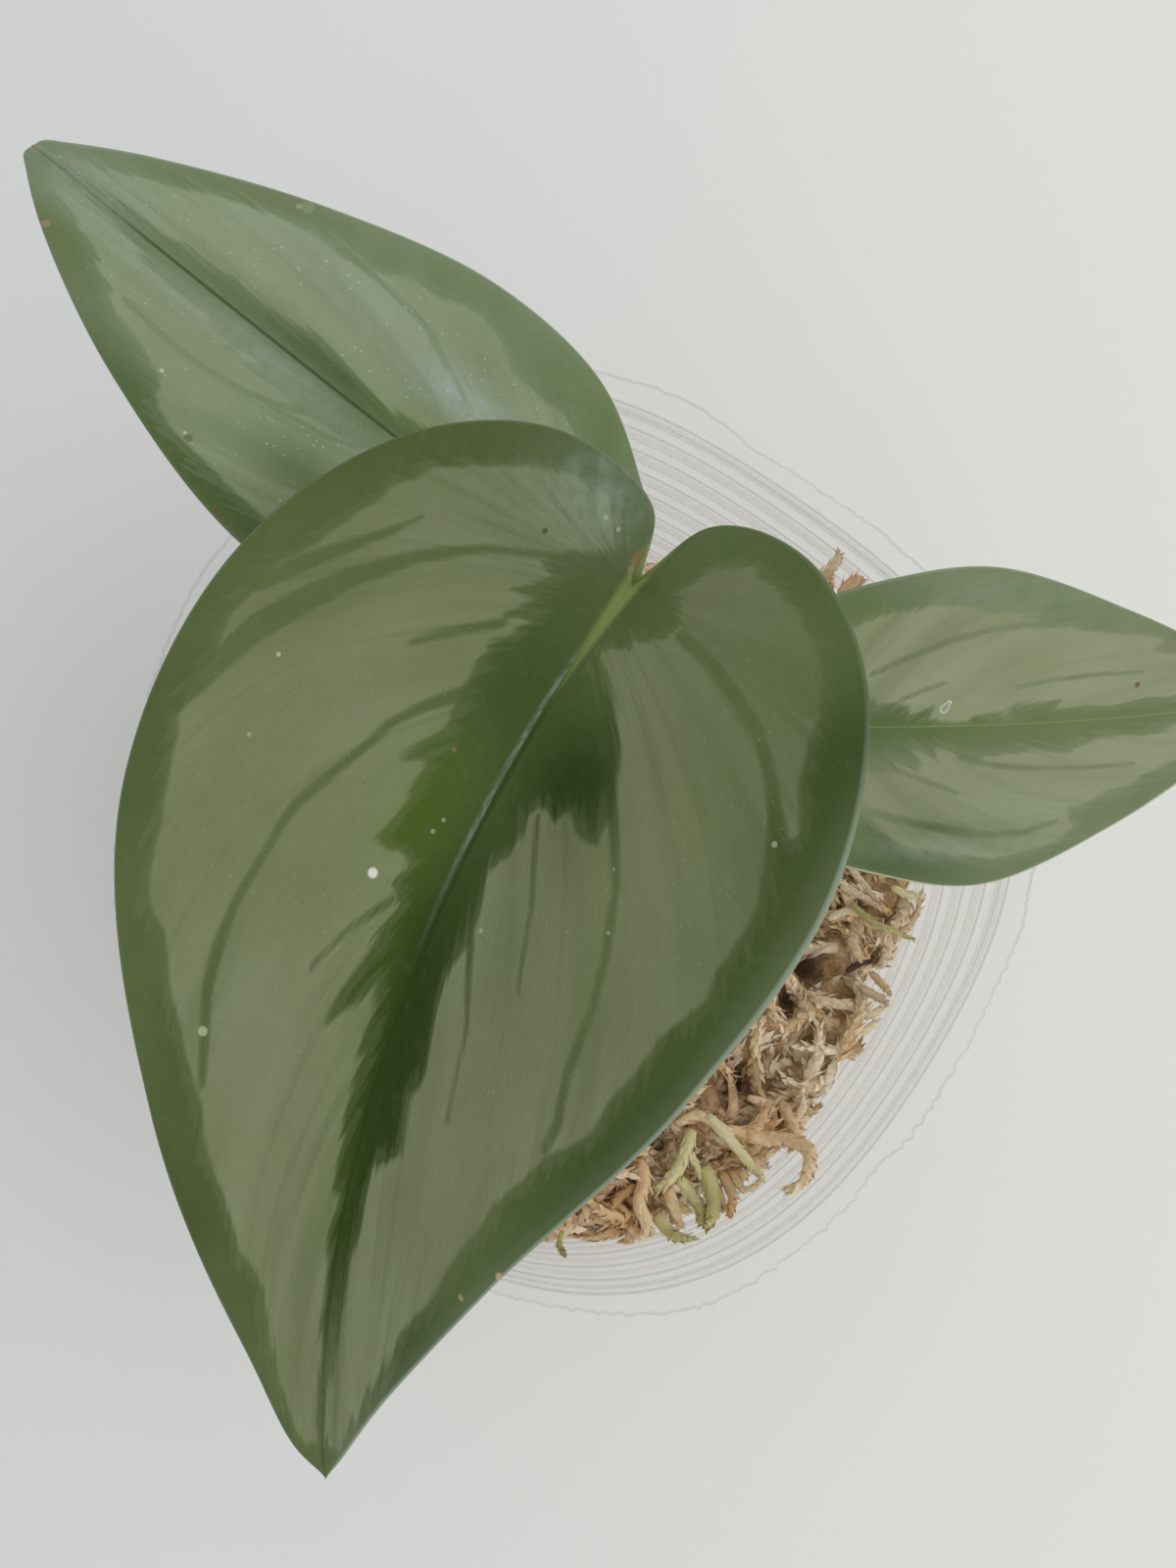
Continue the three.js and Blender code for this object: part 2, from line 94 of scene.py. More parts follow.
# The blades: droop, heading and roll are (at the base, change towards the tip), and fold and curl are
# (right half, left half). Outlines, silver, tones and marks are (across, along) on a blade drawn 1000 long.
DRAWN_LENGTH = 1000.0
BLADE_THICK = 0.6
BLADE_STATIONS = 320
BLADE_COLUMNS = 48
EDGE_THINNING = 0.45
EDGE_ROUND = 0.16
QUILTS = 9.5
QUILT_RISE = 0.16
KEEL_DEPTH = 1.1
KEEL_TAPER = 0.75
KEEL_HALF_WIDTH = 0.012
MIDRIB_SOFTNESS = 0.009
JOIN_REACH = 0.001
LEAVES = {
    "front": dict(
        base=(-9.1, 13.4, 137), length=94.6, droop=(0.2, 0.5), heading=(-2.192, 0.775),
        roll=(-0.595, 0.114), fold=(0.26, 0.386), curl=(0.413, 0.852), fold_fade=-0.445,
        outlines=[
            [(31, -66), (149, -76), (261, -6), (334, 140), (322, 346), (196, 594), (76, 820), (28, 952)],
            [(31, -77), (147, -84), (271, -9), (337, 138), (306, 341), (190, 593), (83, 816), (22, 955)],
        ],
        petiole=[(7.4, 14.4, 93), (5.2, 13, 105), (-0.5, 11.5, 119), (-6.2, 11.2, 130.5), (-8.7, 13, 136)],
    ),
    "left": dict(
        base=(-8.1, 22.3, 110), length=73.6, droop=(0, 0.35), heading=(2.534, -0.18),
        roll=(-0.078, 0.025), fold=(0.209, 0.217), curl=(0.605, 0.642), fold_fade=0.07,
        outlines=[
            [(40, -40), (110, -50), (172, 8), (250, 136), (267, 344), (201, 602), (98, 850), (38, 962),
             (16, 996)],
        ],
        petiole=[
            (7.8, 11.6, 84), (3.2, 13, 91.5), (-1.2, 16.4, 101), (-5.4, 20.2, 107.8), (-7.6, 22.1, 109.4),
        ],
    ),
    "right": dict(
        base=(19.3, 9.6, 101), length=63.2, droop=(-0.2, 0.4), heading=(-0.012, 0.225),
        roll=(-0.4, -0.064), fold=(0.19, 0.16), curl=(0.48, 0.679), fold_fade=0.26,
        outlines=[
            [(50, -45), (135, -66), (205, -15), (262, 147), (290, 345), (200, 600), (90, 829), (25, 955)],
            [(50, -45), (135, -66), (205, -5), (260, 147), (279, 330), (195, 599), (93, 829), (25, 955)],
        ],
        petiole=[(8.8, 10.2, 75), (12, 8.6, 84), (14.5, 8.2, 93), (17, 8.9, 98.8), (18.9, 9.5, 100.4)],
    ),
}

# The silver of each half, right half first: the outline of the silvered area, then the dark veins and
# tongues that cross it, each a line of (across, along, half width)
SILVER = {
    "front": [
        ([
            (6, 940), (6, 856), (6, 798), (6, 744), (6, 694), (12, 660), (8, 630), (16, 596), (18, 550),
            (22, 516), (22, 484), (26, 454), (28, 426), (30, 406), (40, 436), (60, 466), (56, 428),
            (48, 396), (40, 370), (52, 382), (42, 354), (36, 340), (48, 328), (64, 330), (46, 314),
            (46, 304), (58, 300), (84, 302), (78, 286), (72, 254), (70, 222), (94, 228), (78, 206),
            (66, 184), (76, 174), (76, 162), (76, 140), (76, 122), (74, 110), (84, 106), (64, 92),
            (54, 62), (82, 82), (62, 52), (88, 58), (68, 34), (80, 28), (74, 16), (56, 0), (36, -16),
            (50, -44), (74, -52), (114, -50), (162, -28), (198, -4), (224, 16), (242, 42), (246, 58),
            (264, 102), (274, 122), (290, 142), (296, 166), (304, 198), (298, 226), (302, 254), (298, 284),
            (288, 310), (278, 338), (270, 370), (264, 398), (254, 426), (236, 438), (220, 456), (208, 482),
            (192, 508), (178, 534), (160, 556), (146, 584), (134, 622), (114, 650), (98, 684), (86, 712),
            (64, 738), (56, 786), (48, 848), (34, 896), (18, 938),
        ], [
            [(26, -8, 3), (74, 16, 3), (132, 44, 2.5), (182, 82, 5), (222, 122, 8), (246, 154, 11),
             (274, 194, 12), (292, 240, 10), (304, 280, 4)],
            [(200, 50, 1), (218, 78, 3), (244, 106, 5), (272, 134, 7), (296, 166, 6)],
            [(78, 88, 4), (114, 118, 3), (142, 144, 2)],
            [(74, 156, 6), (100, 184, 4), (116, 206, 3.5), (128, 236, 3), (144, 270, 3), (162, 306, 3),
             (168, 348, 2.5), (176, 394, 3), (178, 434, 4), (174, 476, 4), (162, 524, 3), (154, 560, 2)],
            [(42, 336, 2), (70, 376, 1.5), (92, 426, 1)],
        ]),
        ([
            (6, 942), (8, 886), (14, 822), (20, 774), (24, 728), (26, 684), (30, 640), (28, 602),
            (36, 566), (54, 540), (50, 512), (46, 486), (60, 456), (52, 426), (46, 394), (42, 368),
            (50, 344), (50, 324), (46, 298), (38, 274), (50, 250), (52, 232), (46, 216), (62, 202),
            (82, 202), (90, 192), (108, 204), (136, 204), (132, 176), (116, 148), (96, 118), (70, 94),
            (42, 76), (16, 66), (44, 46), (78, 28), (82, 12), (58, -12), (68, -42), (108, -58), (172, -42),
            (214, -20), (246, 12), (258, 48), (266, 76), (292, 110), (282, 124), (256, 100), (268, 126),
            (280, 150), (290, 170), (292, 184), (292, 200), (290, 220), (286, 234), (290, 254), (278, 282),
            (266, 302), (258, 344), (248, 370), (242, 406), (216, 436), (202, 464), (176, 510), (166, 544),
            (148, 594), (134, 644), (98, 712), (80, 780), (52, 854), (28, 930),
        ], [
            [(54, 100, 4), (104, 142, 4), (140, 184, 4), (170, 222, 3), (192, 274, 2.5), (202, 320, 2.5),
             (204, 370, 3), (212, 412, 4), (208, 440, 3)],
            [(88, 20, 4), (138, 30, 5), (180, 46, 5), (216, 62, 4), (246, 86, 4), (266, 108, 5),
             (288, 128, 5)],
            [(58, 210, 1.5), (98, 272, 1.5), (124, 344, 1)],
            [(50, 330, 3), (88, 398, 1.5), (102, 480, 1)],
        ]),
    ],
    "left": [
        ([
            (36, 292), (30, 330), (32, 374), (42, 418), (46, 464), (40, 512), (40, 542), (36, 584),
            (36, 622), (32, 656), (32, 696), (20, 740), (18, 804), (14, 850), (12, 928), (6, 984),
            (24, 940), (48, 870), (74, 812), (100, 756), (130, 688), (148, 626), (156, 578), (150, 536),
            (158, 496), (168, 468), (198, 442), (194, 408), (202, 370), (218, 322), (204, 274), (178, 238),
            (174, 184), (178, 144), (166, 120), (120, 50), (70, 30), (55, 180),
        ], [
            [(86, 246, 3), (116, 292, 3), (152, 372, 3), (162, 462, 3), (160, 544, 2)],
        ]),
        ([
            (42, 314), (56, 358), (62, 410), (56, 456), (64, 510), (46, 514), (58, 542), (40, 602),
            (40, 640), (36, 682), (30, 728), (14, 804), (8, 862), (4, 944), (22, 930), (38, 892),
            (50, 852), (70, 788), (94, 730), (126, 680), (130, 632), (150, 596), (158, 568), (190, 544),
            (202, 506), (208, 462), (214, 416), (218, 374), (222, 344), (218, 240), (180, 130), (120, 50),
            (70, 30), (45, 200),
        ], [
            [(98, 694, 2), (104, 628, 3), (104, 556, 3), (92, 482, 3), (62, 410, 3)],
            [(84, 440, 2), (66, 364, 3), (50, 322, 3)],
        ]),
    ],
    "right": [
        ([
            (80, 140), (80, 174), (58, 166), (78, 220), (44, 208), (66, 258), (44, 250), (60, 314),
            (56, 350), (50, 420), (58, 496), (44, 530), (36, 564), (36, 646), (24, 732), (14, 860),
            (8, 950), (45, 870), (90, 734), (104, 678), (120, 640), (138, 568), (154, 534), (160, 500),
            (200, 520), (226, 462), (244, 364), (232, 290), (212, 204), (186, 142), (156, 120), (150, 50),
            (100, 20), (70, 50),
        ], [
            [(148, 130, 5), (168, 200, 6), (188, 280, 6), (198, 344, 5), (196, 418, 4), (180, 484, 2)],
            [(58, 290, 4), (70, 338, 3), (78, 396, 2.5), (82, 454, 2.5), (86, 530, 2), (88, 638, 1)],
            [(72, 166, 3), (88, 204, 2), (108, 260, 2), (122, 292, 1)],
        ]),
        ([
            (50, 132), (42, 160), (38, 202), (22, 200), (34, 240), (16, 240), (10, 304), (24, 308),
            (20, 374), (34, 388), (48, 484), (30, 476), (32, 556), (38, 646), (35, 720), (20, 840),
            (8, 950), (50, 870), (118, 702), (130, 654), (138, 666), (148, 624), (162, 550), (174, 498),
            (182, 424), (192, 382), (204, 412), (204, 364), (204, 326), (214, 286), (216, 232), (208, 180),
            (204, 152), (192, 108), (178, 80), (140, 20), (90, 0), (60, 40),
        ], [
            [(96, 120, 3), (116, 160, 2.5), (138, 210, 3), (156, 254, 4), (164, 284, 3), (174, 322, 2.5),
             (180, 384, 3), (176, 464, 2)],
            [(50, 174, 2), (68, 218, 2), (80, 254, 1)],
            [(70, 382, 1.2), (82, 462, 1.5), (86, 546, 1.5), (84, 636, 1)],
        ]),
    ],
}

# Broad tones on each blade, as (across, along, half width, half length, strength); one of them is a painted
# sheen of pale blue-grey, not a colour of the leaf
TONES = {
    "front": {
        "deep": [
            (-20, 420, 70, 220, 0.88), (0, 600, 50, 140, 0.9), (-90, 170, 70, 70, 0.95),
            (40, 120, 50, 80, 0.5), (30, 380, 30, 80, 0.5), (-300, 250, 60, 250, 0.35),
            (-290, 40, 50, 70, 0.5), (-250, 500, 60, 200, 0.45), (-120, 750, 50, 200, 0.5),
            (160, 750, 50, 200, 0.25),
        ],
        "fresh": [
            (65, 265, 35, 80, 0.8), (30, 420, 20, 100, 0.5), (30, 240, 20, 80, 0.3),
            (10, 620, 20, 100, 0.4),
        ],
        # painted sheen: pale blue-grey highlight on the blade
        "film": [(80, -50, 60, 50, 0.5)],
        "dull": [
            (-200, -10, 220, 100, 0.85), (130, -10, 120, 90, 0.5), (-280, 200, 50, 120, 0.5),
            (-100, 310, 50, 100, 0.45), (-210, 290, 50, 80, 0.3), (-210, 100, 80, 90, 0.4),
            (260, 120, 60, 120, 0.45),
        ],
    },
    "left": {
        "deep": [
            (20, 420, 30, 260, 0.75), (-240, 350, 50, 250, 0.9), (-190, 620, 50, 160, 0.6),
            # the spot at (-140, 340) is painted shadow that the front blade throws here, over olive that
            # the leaf has
            (-100, 820, 40, 100, 0.3), (-140, 340, 50, 70, 0.9),
        ],
        "fresh": [(35, 300, 30, 60, 0.8), (-90, 870, 40, 80, 0.4), (210, 100, 50, 120, 0.3)],
        # painted sheen: pale blue-grey highlight on the blade
        "film": [
            (100, 260, 30, 80, 1.0), (-30, 500, 30, 250, 0.4), (120, 500, 50, 150, 0.25),
            (0, 880, 50, 100, 0.4),
        ],
        "dull": [
            (0, -20, 300, 80, 0.8), (210, 250, 40, 140, 0.5), (-200, 200, 100, 200, 0.2),
            # the spot at (-130, 380) is the same painted shadow of the front blade, dulling the silver
            (-130, 380, 60, 100, 1.0),
        ],
    },
    "right": {
        "deep": [
            (0, 150, 50, 120, 0.6), (250, 160, 60, 170, 0.7), (190, 420, 30, 80, 0.25),
            (-220, 100, 50, 100, 0.25), (180, 240, 15, 140, 0.6),
        ],
        "fresh": [(0, 250, 30, 120, 0.35), (0, 500, 30, 200, 0.3), (-200, 120, 40, 80, 0.4)],
        # painted sheen: pale blue-grey highlight on the blade
        "film": [(150, 420, 40, 120, 0.35), (220, 280, 20, 160, 0.35), (-240, 350, 40, 200, 0.2)],
        "dull": [
            (0, -20, 300, 80, 0.8), (120, 200, 60, 160, 0.35), (200, 300, 50, 300, 0.55),
            (100, 400, 70, 150, 0.3),
        ],
    },
}

# Specks, scars, nicks and a water drop on each blade, as (across, along, radius, colour, strength); the
# drop's pale rings are its painted highlight
PALE_SPECKS = [
    (-184, 256), (-160, 211), (-58, 320), (34, 257), (-278, 127), (230, 272),
    (60, -37), (43, -34), (38, 270),
]
MARKS = {
    "front": [
        (71, 326, 5.2, "e6e9df", 0.95), (241, 205, 3, "c2cca4", 0.7), (167, 511, 3.5, "c2cca4", 0.6),
        (96, 3, 2, "3a3f20", 0.7), (13, -27, 4, "8f7045", 0.6), (12, -20, 4, "94794f", 0.6),
        (10, -12, 3.5, "9a8a60", 0.55), (-166, 615, 4, "b8a878", 0.6), (-201, 569, 6, "c6ab80", 0.85),
        (55, 200, 3, "9a8a58", 0.5),
    ] + [(x, y, 2, "b8c2a8", 0.5) for x, y in PALE_SPECKS],
    "left": [
        (-86, 861, 7, "a08a6c", 0.7), (-199, 484, 5.5, "6b6a52", 0.8), (-196, 492, 2.5, "c9cdbb", 0.8),
        (-148, 576, 4, "d8cfa8", 0.8), (183, 619, 8, "a6ad88", 0.3), (176, 630, 4, "b4ba98", 0.4),
        (0, 992, 10, "a0946c", 0.6), (-256, 390, 6, "6d5636", 0.7),
    ],
    "right": [
        # after the first mark, a water drop: pale rings of painted highlight round a greener middle
        (-61, 629, 5, "7a5a38", 0.9), (-33, 257, 6, "dfe3da", 0.7), (-39, 261, 4.6, "dfe3da", 0.7),
        (-44.5, 265, 3.4, "dfe3da", 0.7), (-33, 257, 4.2, "93a080", 0.95),
        (-38, 260.5, 3.2, "93a080", 0.95), (-42.5, 263.7, 2, "93a080", 0.95),
    ],
}


def feed(tree, socket, value):
    """Links a socket to the one that its value comes from, or sets it."""
    if isinstance(value, bpy.types.NodeSocket):
        tree.links.new(value, socket)
    else:
        socket.default_value = value


class Wire:
    """One number or colour in a material. + - * / on it add Math nodes."""

    def __init__(self, finish, socket):
        self.finish = finish
        self.socket = socket

    def math(self, operation, *values):
        return self.finish.node("Math", {"operation": operation}, dict(enumerate(values)))

    def __add__(self, other):
        return self.math("ADD", self, other)

    def __sub__(self, other):
        return self.math("SUBTRACT", self, other)

    def __mul__(self, other):
        return self.math("MULTIPLY", self, other)

    def __truediv__(self, other):
        return self.math("DIVIDE", self, other)

    def __rsub__(self, other):
        return self.math("SUBTRACT", other, self)

    __radd__ = __add__
    __rmul__ = __mul__

    def between(self, low, high):
        """0 below low, 1 above high, and smooth in between."""
        limits = {"Value": self, "From Min": low, "From Max": high}
        return self.finish.node("MapRange", {"interpolation_type": "SMOOTHSTEP"}, limits)


class Finish:
    """A material while its nodes are put together."""

    def __init__(self, name):
        self.material = bpy.data.materials.new(name)
        self.material.use_nodes = True
        self.tree = self.material.node_tree
        self.tree.nodes.clear()

    def node(self, kind, settings=None, values=None, output=0):
        made = self.tree.nodes.new("ShaderNode" + kind)
        for setting, value in (settings or {}).items():
            if setting == "stops":
                self.set_stops(made.color_ramp, value)
            else:
                setattr(made, setting, value)
        for key, value in (values or {}).items():
            feed(self.tree, made.inputs[key], value.socket if isinstance(value, Wire) else value)
        return Wire(self, made.outputs[output]) if made.outputs else None

    @staticmethod
    def set_stops(ramp, stops):
        while len(ramp.elements) < len(stops):
            ramp.elements.new(1.0)
        for element, (position, colour) in zip(ramp.elements, stops):
            element.position = position
            element.color = colour

    def ramp(self, factor, *stops):
        return self.node("ValToRGB", {"stops": stops}, {"Fac": factor})

    def mix(self, factor, low, high):
        """Colour low where factor is 0, and high where it is 1."""
        return self.node("Mix", {"data_type": "RGBA"}, {0: factor, 6: low, 7: high}, 2)

    def place(self):
        return self.node("TexCoord", output="Object")

    def field(self, name):
        return self.node("Attribute", {"attribute_name": name}, output="Fac")

    def noise(self, where, scale, detail=2.0, roughness=0.5):
        values = {"Vector": where, "Scale": scale, "Detail": detail, "Roughness": roughness}
        return self.node("TexNoise", None, values)

    def stretched(self, where, *scales):
        return self.node("VectorMath", {"operation": "MULTIPLY"}, {0: where, 1: scales})

    def bump(self, height, distance, strength):
        return self.node("Bump", None, {"Height": height, "Distance": distance, "Strength": strength})

    def surface(self, **values):
        """Ends the material in one Principled shader."""
        shader = self.node("BsdfPrincipled", None, {k.replace("_", " "): v for k, v in values.items()})
        self.node("OutputMaterial", None, {"Surface": shader})
        return self.material


def colour(text):
    """A linear colour from its six hexadecimal digits as seen on screen."""
    shares = [int(text[k:k + 2], 16) / 255 for k in (0, 2, 4)]
    return tuple(s / 12.92 if s < 0.04045 else ((s + 0.055) / 1.055) ** 2.4 for s in shares) + (1.0,)


def smooth_step(low, high, value):
    share = np.clip((value - low) / (high - low), 0, 1)
    return share * share * (3 - 2 * share)


def new_piece(name, points, faces, material, fields=None, maps=None):
    """A smooth mesh from points in millimetres, with a number or a flat place for each point if given."""
    mesh = bpy.data.meshes.new(name)
    mesh.from_pydata((np.asarray(points, float) * MM).tolist(), [], faces)
    mesh.materials.append(material)
    mesh.polygons.foreach_set("use_smooth", np.ones(len(mesh.polygons), bool))
    for field, values in (fields or {}).items():
        made = mesh.attributes.new(field, "FLOAT", "POINT")
        made.data.foreach_set("value", np.asarray(values, np.float32))
    corners = np.empty(len(mesh.loops), np.int32)
    mesh.loops.foreach_get("vertex_index", corners)
    for label, flat in (maps or {}).items():
        mesh.uv_layers.new(name=label).data.foreach_set("uv", np.asarray(flat, np.float32)[corners].ravel())
    mesh.update()
    piece = bpy.data.objects.new(name, mesh)
    bpy.context.scene.collection.objects.link(piece)
    return piece


def seat(piece, slot, *nodes):
    """The piece rides with the plant and stands for these solids. slot is not used."""
    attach(piece, "root")
    if nodes:
        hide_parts(*nodes)
    return piece


def ring_skin(rings):
    """Points and faces of a closed skin over rings of as many points, with a fan over each end."""
    rings = np.asarray(rings, float)
    count, sides, _ = rings.shape
    index = np.arange(count * sides).reshape(count, sides)
    beside = np.roll(index, -1, axis=1)
    faces = np.stack([index[:-1], beside[:-1], beside[1:], index[1:]], -1).reshape(-1, 4).tolist()
    points = np.vstack([rings.reshape(-1, 3), rings[0].mean(0), rings[-1].mean(0)])
    foot = count * sides
    faces += [[foot, b, a] for a, b in zip(index[0].tolist(), beside[0].tolist())]
    faces += [[foot + 1, a, b] for a, b in zip(index[-1].tolist(), beside[-1].tolist())]
    return points, faces


def with_ends(points):
    """The points, with one more beyond each end."""
    return np.vstack([2 * points[0] - points[1], points, 2 * points[-1] - points[-2]])


def curve_step(before, start, end, after, share):
    """The places at shares of the way from start to end, on a centripetal curve through all four."""
    spans = [
        np.maximum(np.linalg.norm(b - a, axis=-1, keepdims=True), 1e-9) ** 0.5
        for a, b in ((before, start), (start, end), (end, after))
    ]
    leave = (start - before) / spans[0] - (end - before) / (spans[0] + spans[1]) + (end - start) / spans[1]
    arrive = (end - start) / spans[1] - (after - start) / (spans[1] + spans[2]) + (after - end) / spans[2]
    leave, arrive = leave * spans[1], arrive * spans[1]
    cubic = 2 * start - 2 * end + leave + arrive
    square = -3 * start + 3 * end - 2 * leave - arrive
    return start + leave * share + square * share**2 + cubic * share**3


def smooth_path(points, count):
    """Points spread evenly along a centripetal curve through the given points."""
    ends = with_ends(np.asarray(points, float))
    share = np.linspace(0, 1, 24, endpoint=False)[:, None]
    steps = [curve_step(*four, share) for four in zip(ends, ends[1:], ends[2:], ends[3:])]
    fine = np.vstack(steps + [ends[-2:-1]])
    length = np.r_[0, np.cumsum(np.linalg.norm(np.diff(fine, axis=0), axis=1))]
    even = np.linspace(0, length[-1], count)
    return np.stack([np.interp(even, length, fine[:, k]) for k in range(3)], -1)


def tube(path, radii, sides):
    """A round skin along a path of points, with a radius at each."""
    path = np.asarray(path, float)
    along = np.gradient(path, axis=0)
    along /= np.linalg.norm(along, axis=1)[:, None]
    side = np.cross(along[0], (0.3, 0.5, 0.81))
    rings = []
    angles = np.arange(sides) * 2 * math.pi / sides
    for centre, ahead, radius in zip(path, along, radii):
        side = side - ahead * side.dot(ahead)
        side /= np.linalg.norm(side)
        other = np.cross(ahead, side)
        rings.append(centre + radius * (np.outer(np.cos(angles), side) + np.outer(np.sin(angles), other)))
    return ring_skin(rings)


def joined(parts):
    """Several (points, faces) skins as one."""
    points, faces, start = [], [], 0
    for part_points, part_faces in parts:
        points.append(part_points)
        faces += [[start + v for v in face] for face in part_faces]
        start += len(part_points)
    return np.vstack(points), faces


# The cup


def squeeze(azimuth, z):
    """How far out of round the cup is: 1 at its foot, and more or less than that towards its edge."""
    share = sum(c * np.cos(n * azimuth) + s * np.sin(n * azimuth) for n, c, s in OUT_OF_ROUND)
    return 1 + (np.maximum(z, 0) / CUP_HEIGHT) ** 1.2 * share


def wall_radius(azimuth, z, offset):
    """The radius of the wall at a height, stood off its outer face by offset."""
    return (RIM_RADIUS - (CUP_HEIGHT - z) * WALL_SLOPE + offset) * squeeze(azimuth, z)


def wall_ring(azimuth, z, offset):
    radius = wall_radius(azimuth, z, offset)
    return np.stack([radius * np.cos(azimuth), radius * np.sin(azimuth), z + 0 * azimuth], -1)


def cut_edge(azimuth):
    """The height of the cut edge: slow waves, a fine ripple and small barbs, longest towards -Y."""
    degrees = np.degrees(azimuth)
    z = CUP_HEIGHT + 0.1 * np.sin(23 * azimuth + 1) + 0.06 * np.sin(57 * azimuth)
    for at, rise, half_width in EDGE_WAVES:
        z += rise * np.exp(-(((degrees - at) / half_width) ** 2))
    draw = np.random.default_rng(11)
    steep_side, long_side, sunk = 0.5, 1.1, 0.3
    for at in np.cumsum(draw.uniform(0.5, 1.5, BARBS)) * 2 * math.pi / BARBS:
        away = ((azimuth - at + math.pi) % (2 * math.pi) - math.pi) * RIM_RADIUS
        near = smooth_step(0.2, -0.7, math.sin(at))
        height = draw.uniform(0.15, 0.45) * (0.4 + 0.6 * near) + 0.35 * near
        z += height * np.clip(1 - np.where(away > 0, away / steep_side, -away / long_side), 0, 1)
    return z - sunk


def make_cup(material):
    azimuth = np.arange(CUP_SIDES) * 2 * math.pi / CUP_SIDES
    steps = []
    for rib in reversed(range(RIB_COUNT)):
        top = CUP_HEIGHT - PLAIN_BAND - rib * RIB_PITCH
        steps.append((top - GROOVE_HEIGHT - 2 * GROOVE_SLOPE, 0.0))
        steps.append((top - GROOVE_HEIGHT - GROOVE_SLOPE, -GROOVE_DEPTH))
        steps.append((top - GROOVE_SLOPE, -GROOVE_DEPTH))
        steps.append((top, 0.0))
    edge = cut_edge(azimuth)
    draw = np.random.default_rng(3)
    flare = EDGE_FLARE * np.sin(9 * azimuth + 2) + draw.normal(0, ROUGH_CUT, CUP_SIDES)
    lip, below, chamfer = 0.15 * flare, edge - EDGE_LIP, 0.1
    foot_top = FOOT[-1][0]
    levels = [(0.0, NEAR_AXIS)] + FOOT + steps
    levels += [(below, lip), (edge, flare - chamfer), (edge, flare - WALL + chamfer), (below, lip - WALL)]
    levels += [(z, offset - WALL) for z, offset in reversed(steps)]
    levels.append((CUP_FLOOR + foot_top, -WALL))
    levels += [(CUP_FLOOR + z, offset - WALL) for z, offset in reversed(FOOT[:-1])]
    levels.append((CUP_FLOOR, NEAR_AXIS))
    points, faces = ring_skin([wall_ring(azimuth, z, offset) for z, offset in levels])
    rim_start = (len(FOOT) + len(steps) + 2) * CUP_SIDES
    at_rim, outside = np.zeros((2, len(points)))
    at_rim[rim_start:rim_start + 2 * CUP_SIDES] = 1.0
    outside[:rim_start + CUP_SIDES] = 1.0
    cup = new_piece("cup_shell", points, faces, material, {"rim": at_rim, "outside": outside})
    cup.data.set_sharp_from_angle(angle=math.radians(40))
    return seat(cup, "clear_cup", "cup")


# The moss


def dip(x, y, at_x, at_y, size):
    """1 in the middle of a hollow, and 0 well away from it."""
    return np.exp(-((x - at_x) ** 2 + (y - at_y) ** 2) / size**2)


def moss_height(x, y):
    mounds = MOUND_RISE * np.sin(0.23 * x + 1.1) * np.sin(0.27 * y + 0.4)
    lumps = LUMP_RISE * np.sin(0.55 * x - 0.48 * y)
    sunk = sum(deep * dip(x, y, at_x, at_y, size) for at_x, at_y, size, deep in HOLLOWS + [LOW_SIDE])
    return MOSS_LEVEL + MOSS_TILT[0] * x + MOSS_TILT[1] * y + mounds + lumps - sunk


def clumps(points, size, seed):
    """Soft lumps of a size in millimetres, from -1 to 1, at each point."""
    draw = np.random.default_rng(seed)
    total = np.zeros(len(points))
    waves = 9
    for _ in range(waves):
        wave = draw.normal(0, 1, 3)
        wave *= 2 * math.pi / size / np.linalg.norm(wave) * draw.uniform(0.7, 1.4)
        total += np.sin(points @ wave + draw.uniform(0, 6.28))
    return total / (waves / 2)


def moss_skins():
    """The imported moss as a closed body: the rings of its side, then those of its top."""
    azimuth = np.arange(MOSS_SIDES) * 2 * math.pi / MOSS_SIDES
    clear = -WALL - GROOVE_DEPTH - 0.7
    base, shoulder, lowest_lump, small_share = 2.5, 1.2, 20, 0.03
    rings = [wall_ring(azimuth, base, clear - 20), wall_ring(azimuth, base, clear - 3)]
    rim = wall_ring(azimuth, MOSS_LEVEL, clear)
    top = moss_height(rim[:, 0], rim[:, 1]) - STRAND_BED
    for share in np.linspace(small_share, 1, SIDE_RINGS):
        rings.append(wall_ring(azimuth, 3 + (top - 3) * share, clear - shoulder * (share > 0.98)))
    for share in np.linspace(0.95, small_share, TOP_RINGS):
        flat = rim[:, :2] * share
        rings.append(np.column_stack([flat, moss_height(flat[:, 0], flat[:, 1]) - STRAND_BED]))
    points, faces = ring_skin(rings)
    radial = points / np.maximum(np.hypot(points[:, 0], points[:, 1]), 1)[:, None]
    radial[:, 2] = 0
    side = np.zeros(len(points), bool)
    side[MOSS_SIDES * 2:MOSS_SIDES * (SIDE_RINGS + 1)] = True
    lump = clumps(points, 7, 1) + 0.6 * clumps(points, 3, 2)
    points = points + np.where(side[:, None], radial * (0.6 * lump - 0.5)[:, None], 0)
    points[:, 2] += np.where(side, 0, 0.9 * lump) * (points[:, 2] > lowest_lump)
    return points, faces


